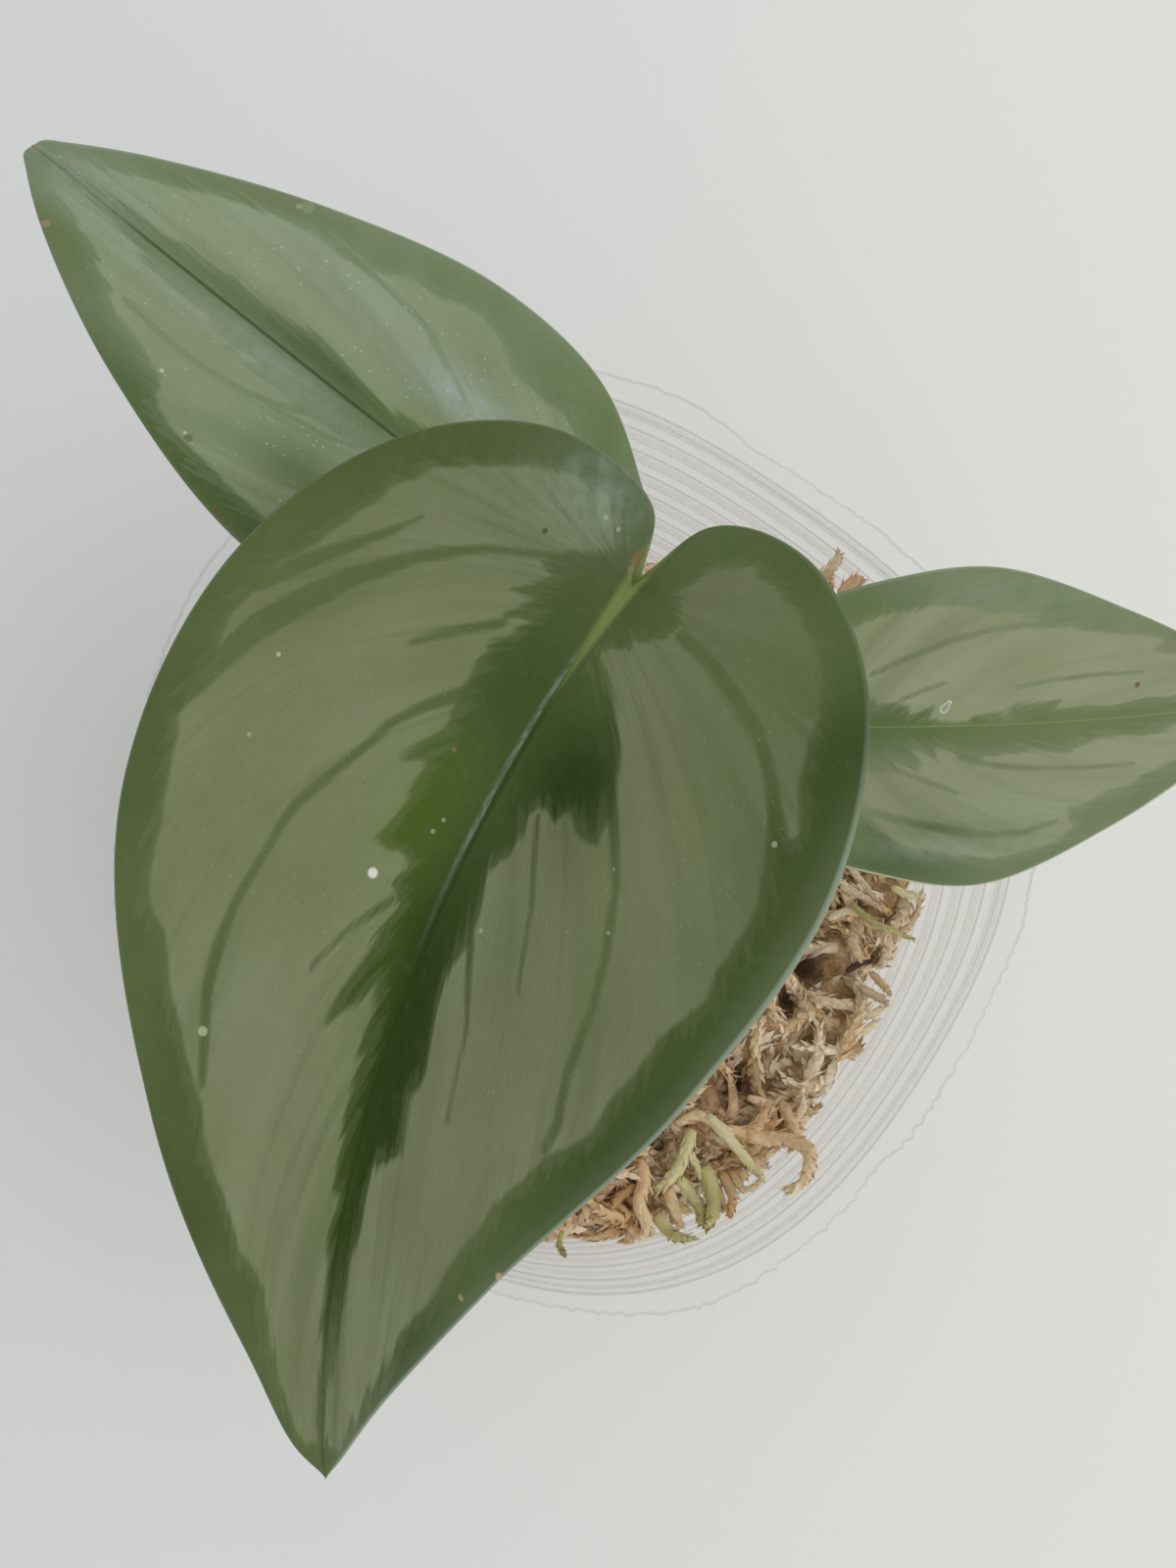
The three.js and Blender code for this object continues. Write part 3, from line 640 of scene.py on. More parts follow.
def leafy_rope(spine, radii, sides, scales, size, spreads, draw):
    """A rope of close pointed scales: points, faces, and how near each point is to the tip of its scale."""
    share = np.linspace(0, 1, len(spine))
    ahead = np.gradient(spine, axis=0)
    points, faces = tube(spine, radii, sides)
    tips = [np.full(len(points), 0.3)]
    points, faces = [points], list(faces)
    count = len(points[0])
    for k in range(scales):
        at = 0.02 + 0.96 * k / scales
        centre = np.array([np.interp(at, share, spine[:, i]) for i in range(3)])
        forward = np.array([np.interp(at, share, ahead[:, i]) for i in range(3)])
        forward /= np.linalg.norm(forward)
        turn = k * 2.4 + draw.uniform(-0.4, 0.4)
        side = np.cross(forward, (0, 1, 0.2))
        side /= np.linalg.norm(side)
        out = side * math.cos(turn) + np.cross(forward, side) * math.sin(turn)
        flank = np.cross(forward, out)
        root = centre + out * np.interp(at, share, radii) * 0.8
        spread = draw.uniform(*spreads)
        reach = size * draw.uniform(1.5, 2.4) * (1 - 0.25 * at)
        tip = root + reach * (forward * math.cos(spread) + out * math.sin(spread))
        middle = root + 0.4 * (tip - root) - out * 0.2
        half = size * draw.uniform(0.4, 0.7) * (1 - 0.3 * at)
        points.append(np.array([root, middle - flank * half, tip, middle + flank * half]))
        tips.append(np.array([0.0, 0.5, 1.0, 0.5]))
        faces.append([count, count + 3, count + 2, count + 1])
        count += 4
    return np.vstack(points), faces, np.concatenate(tips)


def moss_strand(seed, scales, length, curl):
    """A strand that starts at the origin, rises along +Z and curls towards +X."""
    radii = np.array([0.75, 0.95, 0.9, 0.7, 0.25])
    share = np.linspace(0, 1, len(radii))
    lean = curl * share + 0.25 * np.sin(5 * share + seed)
    sway = 0.5 * np.sin(4 * share + 2 * seed)
    ahead = np.stack([np.sin(lean), 0.5 * np.sin(sway), np.cos(lean)], -1)
    spine = np.vstack([[0, 0, 0], np.cumsum(ahead[1:] * length / (len(radii) - 1), axis=0)])
    return leafy_rope(spine, radii, 4, scales, 1.0, (0.2, 0.6), np.random.default_rng(seed))


def laid_strand(seed, path, width):
    """A strand laid along a path, its half width in millimetres."""
    length = np.linalg.norm(np.diff(path, axis=0), axis=1).sum()
    spine = smooth_path(path, 4 + int(length))
    radii = 0.75 * width * np.interp(np.linspace(0, 1, len(spine)), [0, 0.15, 0.75, 1], [0.6, 1, 0.9, 0.3])
    size = 0.35 + 0.5 * width
    scales = int(4 * length / size)
    return leafy_rope(spine, radii, 6, scales, size, (0.05, 0.38), np.random.default_rng(seed))


# The strands that the others are copies of, as (seed, scales, length, curl)
STRAND_KINDS = [(1, 28, 7.5, 1.3), (2, 33, 9.5, 0.8), (3, 26, 6.5, 1.7), (4, 30, 8.5, 1.1)]
STRANDS = [moss_strand(*kind) for kind in STRAND_KINDS]


def scatter_tree(strands, material):
    """Strands set all over a surface: how many, how big and how far they lean are the tree's inputs."""
    tree = bpy.data.node_groups.new("moss_strands", "GeometryNodeTree")
    tree.interface.new_socket("Geometry", in_out="INPUT", socket_type="NodeSocketGeometry")
    for name, value in (("Strands per square metre", 100000.0), ("Smallest", 0.6), ("Largest", 1.1),
                        ("Least lean", 0.4), ("Most lean", 1.4)):
        made = tree.interface.new_socket(name, in_out="INPUT", socket_type="NodeSocketFloat")
        made.default_value = value
    made = tree.interface.new_socket("Seed", in_out="INPUT", socket_type="NodeSocketInt")
    tree.interface.new_socket("Geometry", in_out="OUTPUT", socket_type="NodeSocketGeometry")

    def node(kind, settings=None, **values):
        made = tree.nodes.new(kind)
        for setting, value in (settings or {}).items():
            setattr(made, setting, value)
        for key, value in values.items():
            feed(tree, made.inputs[key.replace("_", " ")], value)
        return made

    given = node("NodeGroupInput").outputs

    def drawn(low, high, offset):
        made = node("FunctionNodeRandomValue", {"data_type": "FLOAT"}, Seed=offset)
        feed(tree, made.inputs[2], low)
        feed(tree, made.inputs[3], high)
        return made.outputs[1]

    points = node(
        "GeometryNodeDistributePointsOnFaces", Mesh=given["Geometry"],
        Density=given["Strands per square metre"], Seed=given["Seed"],
    ).outputs
    lean = node("ShaderNodeCombineXYZ", Y=drawn(given["Least lean"], given["Most lean"], 1)).outputs[0]
    spin = node("ShaderNodeCombineXYZ", Z=drawn(0.0, 6.283, 2)).outputs[0]
    leaned = node("FunctionNodeEulerToRotation", Euler=lean).outputs[0]
    spun = node("FunctionNodeEulerToRotation", Euler=spin).outputs[0]

    def then(first, second):
        """The first turn followed by the second, about the axes that the first one turned."""
        local = {"rotation_space": "LOCAL"}
        return node("FunctionNodeRotateRotation", local, Rotation=first, Rotate_By=second).outputs[0]

    aimed = then(points["Rotation"], then(spun, leaned))
    source = node("GeometryNodeCollectionInfo", {"transform_space": "ORIGINAL"},
                  Collection=strands, Separate_Children=True, Reset_Children=True)
    size = drawn(given["Smallest"], given["Largest"], 3)
    copies = node(
        "GeometryNodeInstanceOnPoints", Points=points["Points"], Instance=source.outputs[0],
        Pick_Instance=True, Rotation=aimed, Scale=size,
    ).outputs[0]
    tinted = node("GeometryNodeStoreNamedAttribute", {"data_type": "FLOAT", "domain": "INSTANCE"},
                  Geometry=copies, Name="tint").outputs[0]
    tree.links.new(drawn(0.0, 1.0, 4), tinted.node.inputs["Value"])
    real = node("GeometryNodeRealizeInstances", Geometry=tinted).outputs[0]
    ended = node("GeometryNodeSetMaterial", Geometry=real, Material=material).outputs[0]
    node("NodeGroupOutput", Geometry=ended)
    return tree


def strand_stock(material):
    """The few strands that the scattered ones are copies of, in a collection of their own."""
    stock = bpy.data.collections.new("strand_stock")
    for k, (points, faces, tips) in enumerate(STRANDS):
        piece = new_piece(f"strand_{k}", points, faces, material, {"tip": tips})
        bpy.context.scene.collection.objects.unlink(piece)
        stock.objects.link(piece)
    return stock


def scatter(name, points, faces, tree, settings):
    """The strands of one stretch of surface, as a plain mesh."""
    ground = new_piece(name + "_ground", points, faces, STRAW)
    modifier = ground.modifiers.new("strands", "NODES")
    modifier.node_group = tree
    for item in tree.interface.items_tree:
        if item.in_out == "INPUT" and item.name in settings:
            modifier[item.identifier] = settings[item.name]
    bpy.context.view_layer.update()
    evaluated = ground.evaluated_get(bpy.context.evaluated_depsgraph_get())
    mesh = bpy.data.meshes.new_from_object(evaluated)
    piece = bpy.data.objects.new(name, mesh)
    bpy.context.scene.collection.objects.link(piece)
    bpy.data.objects.remove(ground)
    press_inside(mesh)
    return piece


def corners_of(mesh):
    """The places of a mesh's corners, in millimetres."""
    co = np.empty(len(mesh.vertices) * 3, np.float32)
    mesh.vertices.foreach_get("co", co)
    return co.reshape(-1, 3) / MM


def sink_into_hollows(mesh):
    """Lets the strands that lie over a hollow hang down into it, and marks how far in they are."""
    hang, lowest = 0.5, 50
    co = corners_of(mesh)
    within = [dip(co[:, 0], co[:, 1], x, y, size) for x, y, size, _ in HOLLOWS]
    sunk = sum(hang * deep * share for share, (_, _, _, deep) in zip(within, HOLLOWS))
    co[:, 2] -= sunk * (co[:, 2] > lowest)
    mesh.vertices.foreach_set("co", (co * MM).astype(np.float32).ravel())
    mark = mesh.attributes.new("sunk", "FLOAT", "POINT").data
    mark.foreach_set("value", np.clip(sum(within), 0, 1).astype(np.float32))


def press_inside(mesh):
    """Presses what would pass through the wall or the floor of the cup flat against it."""
    gap, depth, lift = 0.15, 0.5, 0.4
    co = corners_of(mesh)
    azimuth = np.arctan2(co[:, 1], co[:, 0])
    limit = wall_radius(azimuth, co[:, 2], -WALL - GROOVE_DEPTH - gap)
    radius = np.hypot(co[:, 0], co[:, 1])
    over = np.maximum(radius - limit + depth, 0)
    pressed = np.where(over > 0, limit - depth + depth * over / (depth + over), radius)
    co[:, :2] *= (pressed / np.maximum(radius, 1e-6))[:, None]
    co[:, 2] = np.maximum(co[:, 2], CUP_FLOOR + lift)
    mesh.vertices.foreach_set("co", (co * MM).astype(np.float32).ravel())
    mesh.update()


def set_strands(places, laid):
    """Strands set one by one, as points, faces and fields."""
    made = [(*laid_strand(seed, path, width), tint) for seed, (path, width, tint) in enumerate(laid)]
    for which, x, y, z, azimuth, lean, scale, tint in places:
        points, faces, near_tip = STRANDS[which]
        turn = np.array(Euler((0, lean, azimuth)).to_matrix())
        made.append((scale * points @ turn.T + (x, y, z), faces, near_tip, tint))
    points, faces = joined([strand[:2] for strand in made])
    tints = np.concatenate([np.full(len(near_tip), tint) for _, _, near_tip, tint in made])
    return points, faces, {"tint": tints, "tip": np.concatenate([strand[2] for strand in made])}


# Strands set one by one: those that stand are (which, x, y, z, azimuth, lean, scale, tint), with the place
# of the foot, and those that are laid are (path, half width, tint)
TALL_STRANDS = [
    (1, 30.0, 32.8, 79, 0.8, 0.3, 0.8, 0.8), (0, 28, 30, 64, 0.8, 0.3, 1.0, 0.6),
    (2, 25.5, -33, 69, -0.8, 1.3, 1.0, 0.8), (0, 29, -33, 67, -0.6, 1.2, 1.0, 0.7),
    (2, 34, -31, 66, -0.5, 1.2, 1.0, 0.75), (1, 38, -13, 66, 0.1, 1.0, 0.9, 0.6),
    (3, 36, -22, 66, -0.6, 0.9, 1.0, 0.9), (1, 28, -27, 68, 2.4, 0.9, 1.0, 0.55),
    (3, 13, 35.5, 57, 1.2, 0.7, 0.5, 0.1),
]
LAID_TAN = [
    ([(19.5, -35.8, 75), (23.9, -36.9, 75), (26.7, -37.1, 77.5), (28.0, -38.0, 80), (27.2, -39.7, 82.2),
      (25.5, -41.4, 84), (23.9, -42.4, 82.5)], 1.35, 0.4),
    ([(8.4, -39, 74), (8.9, -41.7, 75), (7.9, -44.3, 76.2), (8.9, -46.6, 76.5), (8.2, -48.1, 76.2)],
     1.3, 0.4),
    ([(12, -42.4, 74), (12.6, -45, 74.5), (13.2, -47.2, 75.5)], 1.2, 0.35),
    ([(18.5, -42.5, 73), (18.7, -45, 74.5), (19, -46.3, 76)], 1.1, 0.6),
    ([(6.5, -45.5, 74), (7.8, -47.6, 74.5), (10, -48, 74.5)], 1.0, 0.5),
    ([(13.3, -35.2, 74), (15.8, -34.1, 75.2), (18.3, -35.5, 76), (21.6, -37.5, 74)], 0.9, 0.45),
    ([(19.2, -41.1, 73), (20, -43.5, 75), (18.4, -45.5, 79)], 0.95, 0.15),
    ([(11.3, -43.7, 74), (13.8, -45.2, 73.5), (15.2, -45.7, 73)], 0.9, 0.0),
    ([(23, -32.2, 73), (26.2, -33.6, 72), (24.3, -35.8, 73.2), (25.5, -37.4, 75.2)], 0.9, 0.6),
    ([(20.5, -41.1, 73), (21.5, -43.1, 75.5), (23.5, -41.9, 76.2)], 0.7, 0.5),
    ([(36.9, -5.5, 71), (39.3, -6.7, 72), (40.8, -8.4, 74)], 0.7, 0.9),
    ([(35.1, -9.8, 71), (37.4, -8.8, 71.5), (39.1, -9.4, 73.2)], 0.7, 0.8),
    ([(38.5, -2.9, 70.5), (39.8, -4.9, 71), (40.5, -7, 73.2)], 0.7, 0.7),
    ([(7.9, -42.3, 74.5), (5.3, -44.2, 75), (6.5, -45.5, 76), (4.7, -46.8, 75.5)], 0.9, -0.3),
    ([(39.6, -18.6, 70.2), (41, -19.6, 71.5), (41.8, -20.6, 73.8)], 0.8, 0.6),
    ([(38.1, -21.9, 72.2), (39.9, -22, 72.8), (41.4, -21.1, 73.8)], 0.8, 0.8),
    ([(41.3, -16.6, 69.8), (42.2, -18, 71), (42.5, -19.4, 73)], 0.7, 0.5),
    ([(37.2, -24.1, 73.5), (38.7, -23.9, 73.8), (40.4, -22.9, 73.5)], 0.7, 0.7),
]
GREEN_SPRIG = [(1, 15.0, -39, 70, -1.5, 1.3, 1.1, 0.3), (0, 16.5, -38, 69, -1.3, 0.9, 1.0, 0.7)]
LAID_GREEN = [
    ([(15.1, -35.8, 75.2), (14.3, -37.8, 75.2), (13.3, -40.1, 75.2), (11.7, -41.8, 75.4),
      (10.1, -42.8, 75.5)], 1.15, 0.55),
    ([(14.3, -37.6, 75), (15.6, -40, 74.5), (16.9, -42.5, 73)], 0.6, 0.6),
    ([(16.9, -40.2, 74), (17.7, -43, 74), (17.3, -45.2, 76.2), (15.4, -46.7, 79.2)], 1.4, 0.2),
    ([(16.6, -34, 76.2), (18.5, -36, 76.4), (20.9, -38.6, 76), (22.1, -40, 76), (23, -41.5, 77.2)],
     0.95, 0.6),
    ([(10.1, -45.6, 75.5), (11.7, -47.5, 75.8), (11.9, -47.9, 78), (13.3, -47.8, 80.2)], 1.1, 0.15),
    ([(13.2, -41.3, 74), (15.1, -43.4, 73), (16.3, -45.1, 73.5), (15.4, -46.5, 77.2)], 1.2, 0.45),
    ([(37.9, -7.8, 72), (39.8, -10.2, 74), (43, -11.4, 73.5), (45.6, -12.4, 73.8)], 0.6, -0.2),
    ([(43, -5.7, 73.5), (45.1, -6.5, 73), (47.2, -6.6, 72.5)], 0.7, 0.45),
    ([(-1, -47.2, 74.5), (-1.4, -48.2, 74.8), (-1.7, -48.8, 76.5), (-1.8, -49.2, 79)], 0.5, 0.0),
]
LAID_DARK = [([(37.2, -16.6, 71.5), (38.4, -15.8, 72), (40, -15.3, 72.5)], 0.6, 0.2)]
RUST_SPRIG = [
    (1, 31, 28.5, 62, 1.2, 0.1, 1.2, 0.5), (1, 31.4, 29.2, 71, 1.2, 0.1, 1.1, 0.4),
    (3, 31.5, 28.5, 72, 0.1, 0.8, 0.7, 0.7),
]
LAID_RUST = [([(33.4, 30.2, 81.5), (34.5, 31.8, 82.8), (35.3, 32.5, 83.6)], 1.4, 0.5)]


def make_moss():
    points, faces = moss_skins()
    body = new_piece("moss_body", points, faces, PEAT)
    sink_into_hollows(body.data)
    seat(body, "dry_moss", "moss_plug")
    tree = scatter_tree(strand_stock(STRAW), STRAW)
    ring_of = np.array([min(f) // MOSS_SIDES for f in faces])
    centres = np.array([points[f].mean(0)[:2] for f in faces])
    bare = np.zeros(len(faces), bool)
    for x, y, size, _ in HOLLOWS + [LOW_SIDE]:
        bare |= np.hypot(centres[:, 0] - x, centres[:, 1] - y) < 0.9 * size
    top_faces = [f for f, ring, gap in zip(faces, ring_of, bare) if ring >= SIDE_RINGS and not gap]
    side_faces = [f for f, ring in zip(faces, ring_of) if 1 <= ring < SIDE_RINGS]
    top = scatter("moss_top", points, top_faces, tree, {
        "Strands per square metre": 190000.0, "Smallest": 0.65, "Largest": 1.15,
        "Least lean": 1.0, "Most lean": 1.5, "Seed": 4,
    })
    sink_into_hollows(top.data)
    seat(top, "dry_moss")
    side = scatter("moss_side", points, side_faces, tree, {
        "Strands per square metre": 85000.0, "Smallest": 0.75, "Largest": 1.2,
        "Least lean": 1.35, "Most lean": 1.6, "Seed": 9,
    })
    seat(side, "dry_moss")
    for name, places, laid, material, slot, nodes in (
        ("moss_strands_tall", TALL_STRANDS, LAID_TAN, STRAW, "dry_moss", ()),
        ("moss_flake_dark", [], LAID_DARK, DARK_MOSS, "dry_moss", ()),
        ("sprig_green", GREEN_SPRIG, LAID_GREEN, GREEN_MOSS, "green_moss", ("moss_sprig_green",)),
        ("sprig_rust", RUST_SPRIG, LAID_RUST, RUST_MOSS, "rust_moss", ("moss_sprig_rust",)),
    ):
        points, faces, fields = set_strands(places, laid)
        piece = new_piece(name, points, faces, material, fields)
        press_inside(piece.data)
        seat(piece, slot, *nodes)


# The stem, its aerial roots and the leaf stalks


def make_stem(material):
    count, root_count = 70, 14
    path = smooth_path(STEM_PATH, count)
    along = np.linspace(0, 1, count)
    radii = STEM_RADIUS + np.interp(along, np.linspace(0, 1, len(STEM_SWELL)), STEM_SWELL)
    parts = [tube(path, radii, 28)]
    root_radii = 0.8 * (1 - np.linspace(0, 1, root_count) ** 3) ** 0.5 + 0.02
    for x, y, z, azimuth in AERIAL_ROOTS:
        across = np.array([math.cos(azimuth), math.sin(azimuth), 0])
        start = np.array([x, y, z], float)
        bend, end = start + 3.6 * across - (0, 0, 0.6), start + 5.4 * across - (0, 0, 2.4)
        parts.append(tube(smooth_path([start, bend, end], root_count), root_radii, 10))
    points, faces = joined(parts)
    return seat(new_piece("vine_stem", points, faces, material), "stem_skin", "stem")


def make_petiole(side, leaf, material):
    count = 60
    path = smooth_path(leaf["petiole"], count)
    shares = np.interp(np.linspace(0, 1, count), np.linspace(0, 1, len(PETIOLE_SHARES)), PETIOLE_SHARES)
    points, faces = tube(path, shares * PETIOLE_RADIUS, 20)
    piece = new_piece("stalk_" + side, points, faces, material)
    return seat(piece, "petiole_skin", "petiole_" + side)


# The blades


def outline_at(outline, share):
    """The margin from the base to the tip, by a centripetal curve through its points."""
    points = np.vstack([(0, 0), np.array(outline) / DRAWN_LENGTH, (0, 1)])
    ends = with_ends(points)
    place = share * (len(points) - 1)
    step = np.minimum(place.astype(int), len(points) - 2)
    return curve_step(*(ends[step + k] for k in range(4)), (place - step)[:, None])


def vein_net(margin, t, r):
    """Flat places along the side veins: t runs along the margin, r from the midrib to the margin."""
    lobe = 0.25
    start = np.maximum(0, (t - lobe) / (1 - lobe)) ** 3.6
    wide = 0.62 + 0.9 * smooth_step(0.42, 0.8, t)
    steep = 0.3 + 0.14 * smooth_step(0.3, 0.6, t)
    bend = wide * margin[..., 0], start + steep * (margin[..., 1] - start)
    x = 2 * r * (1 - r) * bend[0] + r * r * margin[..., 0]
    y = (1 - r) ** 2 * start + 2 * r * (1 - r) * bend[1] + r * r * margin[..., 1]
    return x, y


def blade_points(leaf, x, y):
    """Where flat places of the blade lie in space."""
    steps = 24
    length = leaf["length"]

    def ahead(s):
        droop = leaf["droop"][0] + leaf["droop"][1] * s
        heading = leaf["heading"][0] + leaf["heading"][1] * s
        level = np.cos(droop)
        return np.stack([level * np.cos(heading), level * np.sin(heading), -np.sin(droop)], -1)

    place = np.broadcast_to(np.array(leaf["base"], float), x.shape + (3,)).copy()
    for k in range(steps):
        place += ahead((k + 0.5) * y / steps) * (length * y / steps)[..., None]
    heading = leaf["heading"][0] + leaf["heading"][1] * y
    level = np.stack([np.sin(heading), -np.cos(heading), 0 * heading], -1)
    upright = np.cross(level, ahead(y))
    roll = (leaf["roll"][0] + leaf["roll"][1] * y)[..., None]
    across = level * np.cos(roll) + upright * np.sin(roll)
    up = upright * np.cos(roll) - level * np.sin(roll)
    right = x > 0
    fold = np.where(right, leaf["fold"][0], leaf["fold"][1]) * (1 - leaf["fold_fade"] * y)
    curl = np.where(right, leaf["curl"][0], leaf["curl"][1])
    reach = np.abs(x)
    rise = np.hypot(x, MIDRIB_SOFTNESS) - MIDRIB_SOFTNESS
    out = (np.sin(fold) - np.sin(fold - curl * reach)) / curl * length
    height = (np.cos(fold - curl * rise) - np.cos(fold)) / curl * length
    return place + across * (np.sign(x) * out)[..., None] + up * height[..., None]


def off_edge(x, y, a, b):
    """How far places are from the straight edge from a to b, and at which share of it they are nearest."""
    dx, dy = b[0] - a[0], b[1] - a[1]
    share = np.clip(((x - a[0]) * dx + (y - a[1]) * dy) / (dx * dx + dy * dy), 0, 1)
    return np.hypot(x - a[0] - share * dx, y - a[1] - share * dy), share


def inside_distance(x, y, outline):
    """The distance to a closed outline: above 0 inside it, below 0 outside."""
    corners = np.array(outline) / DRAWN_LENGTH
    nearest = np.full(x.shape, 9.0)
    crossings = np.zeros(x.shape, int)
    for a, b in zip(corners, np.roll(corners, -1, axis=0)):
        nearest = np.minimum(nearest, off_edge(x, y, a, b)[0])
        if a[1] != b[1]:
            beside = (a[1] > y) != (b[1] > y)
            crossings += beside & (x < a[0] + (y - a[1]) / (b[1] - a[1]) * (b[0] - a[0]))
    return np.where(crossings % 2 == 1, nearest, -nearest)


def line_distance(x, y, line):
    """The distance into a line whose half width changes along it: above 0 inside it."""
    corners = np.array(line) / DRAWN_LENGTH
    deepest = np.full(x.shape, -9.0)
    for a, b in zip(corners, corners[1:]):
        away, share = off_edge(x, y, a, b)
        deepest = np.maximum(deepest, a[2] + share * (b[2] - a[2]) - away)
    return deepest


def blade_fields(side, leaf, x, y):
    """The numbers that the blade's finish reads, in millimetres or shares, at each flat place."""
    away = np.abs(x)
    areas = [inside_distance(away, y, area) for area, _ in SILVER[side]]
    veins = [np.max([line_distance(away, y, line) for line in lines], axis=0) for _, lines in SILVER[side]]
    fields = {
        "silver": np.where(x > 0, *areas) * leaf["length"],
        "vein": np.where(x > 0, *veins) * leaf["length"],
    }
    for tone, spots in TONES[side].items():
        total = np.zeros(x.shape)
        for *spot, strength in spots:
            at_x, at_y, wide, long = np.array(spot) / DRAWN_LENGTH
            total += strength * np.exp(-(((x - at_x) / wide) ** 2) - ((y - at_y) / long) ** 2)
        fields[tone] = np.clip(total, 0, 1)
    return fields


def make_blade(side, leaf, material):
    t = np.linspace(0, 1, BLADE_STATIONS + 1)
    shares = np.linspace(0, 1, BLADE_COLUMNS + 1)
    flat = []
    for half, sign in ((-1, -1), (0, 1)):
        margin = outline_at(leaf["outlines"][half], t)
        x, y = vein_net(margin[:, None, :], t[:, None], shares[None, :])
        flat.append((sign * x, y))
    x = np.hstack([flat[0][0][:, ::-1], flat[1][0][:, 1:]])
    y = np.hstack([flat[0][1][:, ::-1], flat[1][1][:, 1:]])
    r = np.broadcast_to(np.r_[-shares[::-1], shares[1:]], x.shape)
    t = np.broadcast_to(t[:, None], x.shape)
    side_x = np.where(r < 0, np.minimum(x, -1e-7), np.maximum(x, 1e-7))
    here = blade_points(leaf, side_x, y)
    nudge = 1e-3
    along_x = blade_points(leaf, side_x + nudge, y) - blade_points(leaf, side_x - nudge, y)
    along_y = blade_points(leaf, side_x, y + nudge) - blade_points(leaf, side_x, y - nudge)
    normal = np.cross(along_x, along_y)
    normal /= np.linalg.norm(normal, axis=-1)[..., None]
    away = np.abs(r)
    quilt = QUILT_RISE * np.sin(2 * math.pi * QUILTS * t) * np.sin(math.pi * np.clip(away, 0, 1)) ** 1.5
    keel = KEEL_DEPTH * (1 - KEEL_TAPER * y) * np.exp(-((x / KEEL_HALF_WIDTH) ** 2))
    half_thick = BLADE_THICK / 2 * (1 - EDGE_THINNING * away**6)
    top = here + normal * (quilt + half_thick)[..., None]
    bottom = here + normal * (quilt - half_thick - keel)[..., None]
    count, columns = x.shape
    index = np.arange(count * columns).reshape(count, columns)
    under = index + count * columns
    quads = np.stack([index[:-1, :-1], index[:-1, 1:], index[1:, 1:], index[1:, :-1]], -1).reshape(-1, 4)
    faces = [quads, (quads + count * columns)[:, ::-1]]
    rims, start = [], 2 * count * columns
    for column, inner, turn in ((0, 1, 1), (columns - 1, columns - 2, -1)):
        outward = here[:, column] - here[:, inner]
        outward /= np.maximum(np.linalg.norm(outward, axis=-1), 1e-9)[:, None]
        middle = (top[:, column] + bottom[:, column]) / 2 + outward * EDGE_ROUND
        rims.append(middle)
        rim = start + np.arange(count)
        start += count
        for first, second in ((index[:, column], rim), (rim, under[:, column])):
            strip = np.stack([first[:-1], first[1:], second[1:], second[:-1]], -1)
            faces.append(strip[:, ::turn])
    faces = np.vstack(faces).tolist()
    points = np.vstack([top.reshape(-1, 3), bottom.reshape(-1, 3)] + rims)
    edges = [np.s_[:, 0], np.s_[:, columns - 1]]

    def everywhere(values):
        return np.concatenate([values.ravel(), values.ravel()] + [values[edge] for edge in edges])

    fields = {name: everywhere(values) for name, values in blade_fields(side, leaf, x, y).items()}
    size = count * columns
    fields["under"] = np.r_[np.zeros(size), np.ones(size), np.full(2 * count, 0.5)]
    fields["rib"] = everywhere(np.abs(x)) * leaf["length"]
    maps = {
        "flat": np.column_stack([everywhere(x), everywhere(y)]),
        "veins": np.column_stack([everywhere(t), everywhere(r)]),
    }
    faces = clean_faces(points, faces)
    piece = new_piece("blade_" + side, points, faces, material, fields, maps)
    tidy_mesh(piece.data)
    return seat(piece, "silver_leaf", "leaf_" + side)


def clean_faces(points, faces):
    """The faces with corners that lie on each other joined, without those that vanish."""
    decimals = 4
    _, first, same = np.unique(np.round(points, decimals), axis=0, return_index=True, return_inverse=True)
    joined_to = first[same.reshape(-1)]
    kept = []
    for face in faces:
        corners = list(dict.fromkeys(joined_to[face].tolist()))
        if len(corners) > 2:
            kept.append(corners)
    return kept


def tidy_mesh(mesh):
    """Joins the points that lie on each other and drops those that no face uses."""
    made = bmesh.new()
    made.from_mesh(mesh)
    bmesh.ops.remove_doubles(made, verts=made.verts, dist=JOIN_REACH * MM)
    bmesh.ops.delete(made, geom=[v for v in made.verts if not v.link_faces], context="VERTS")
    made.to_mesh(mesh)
    made.free()


# The finishes


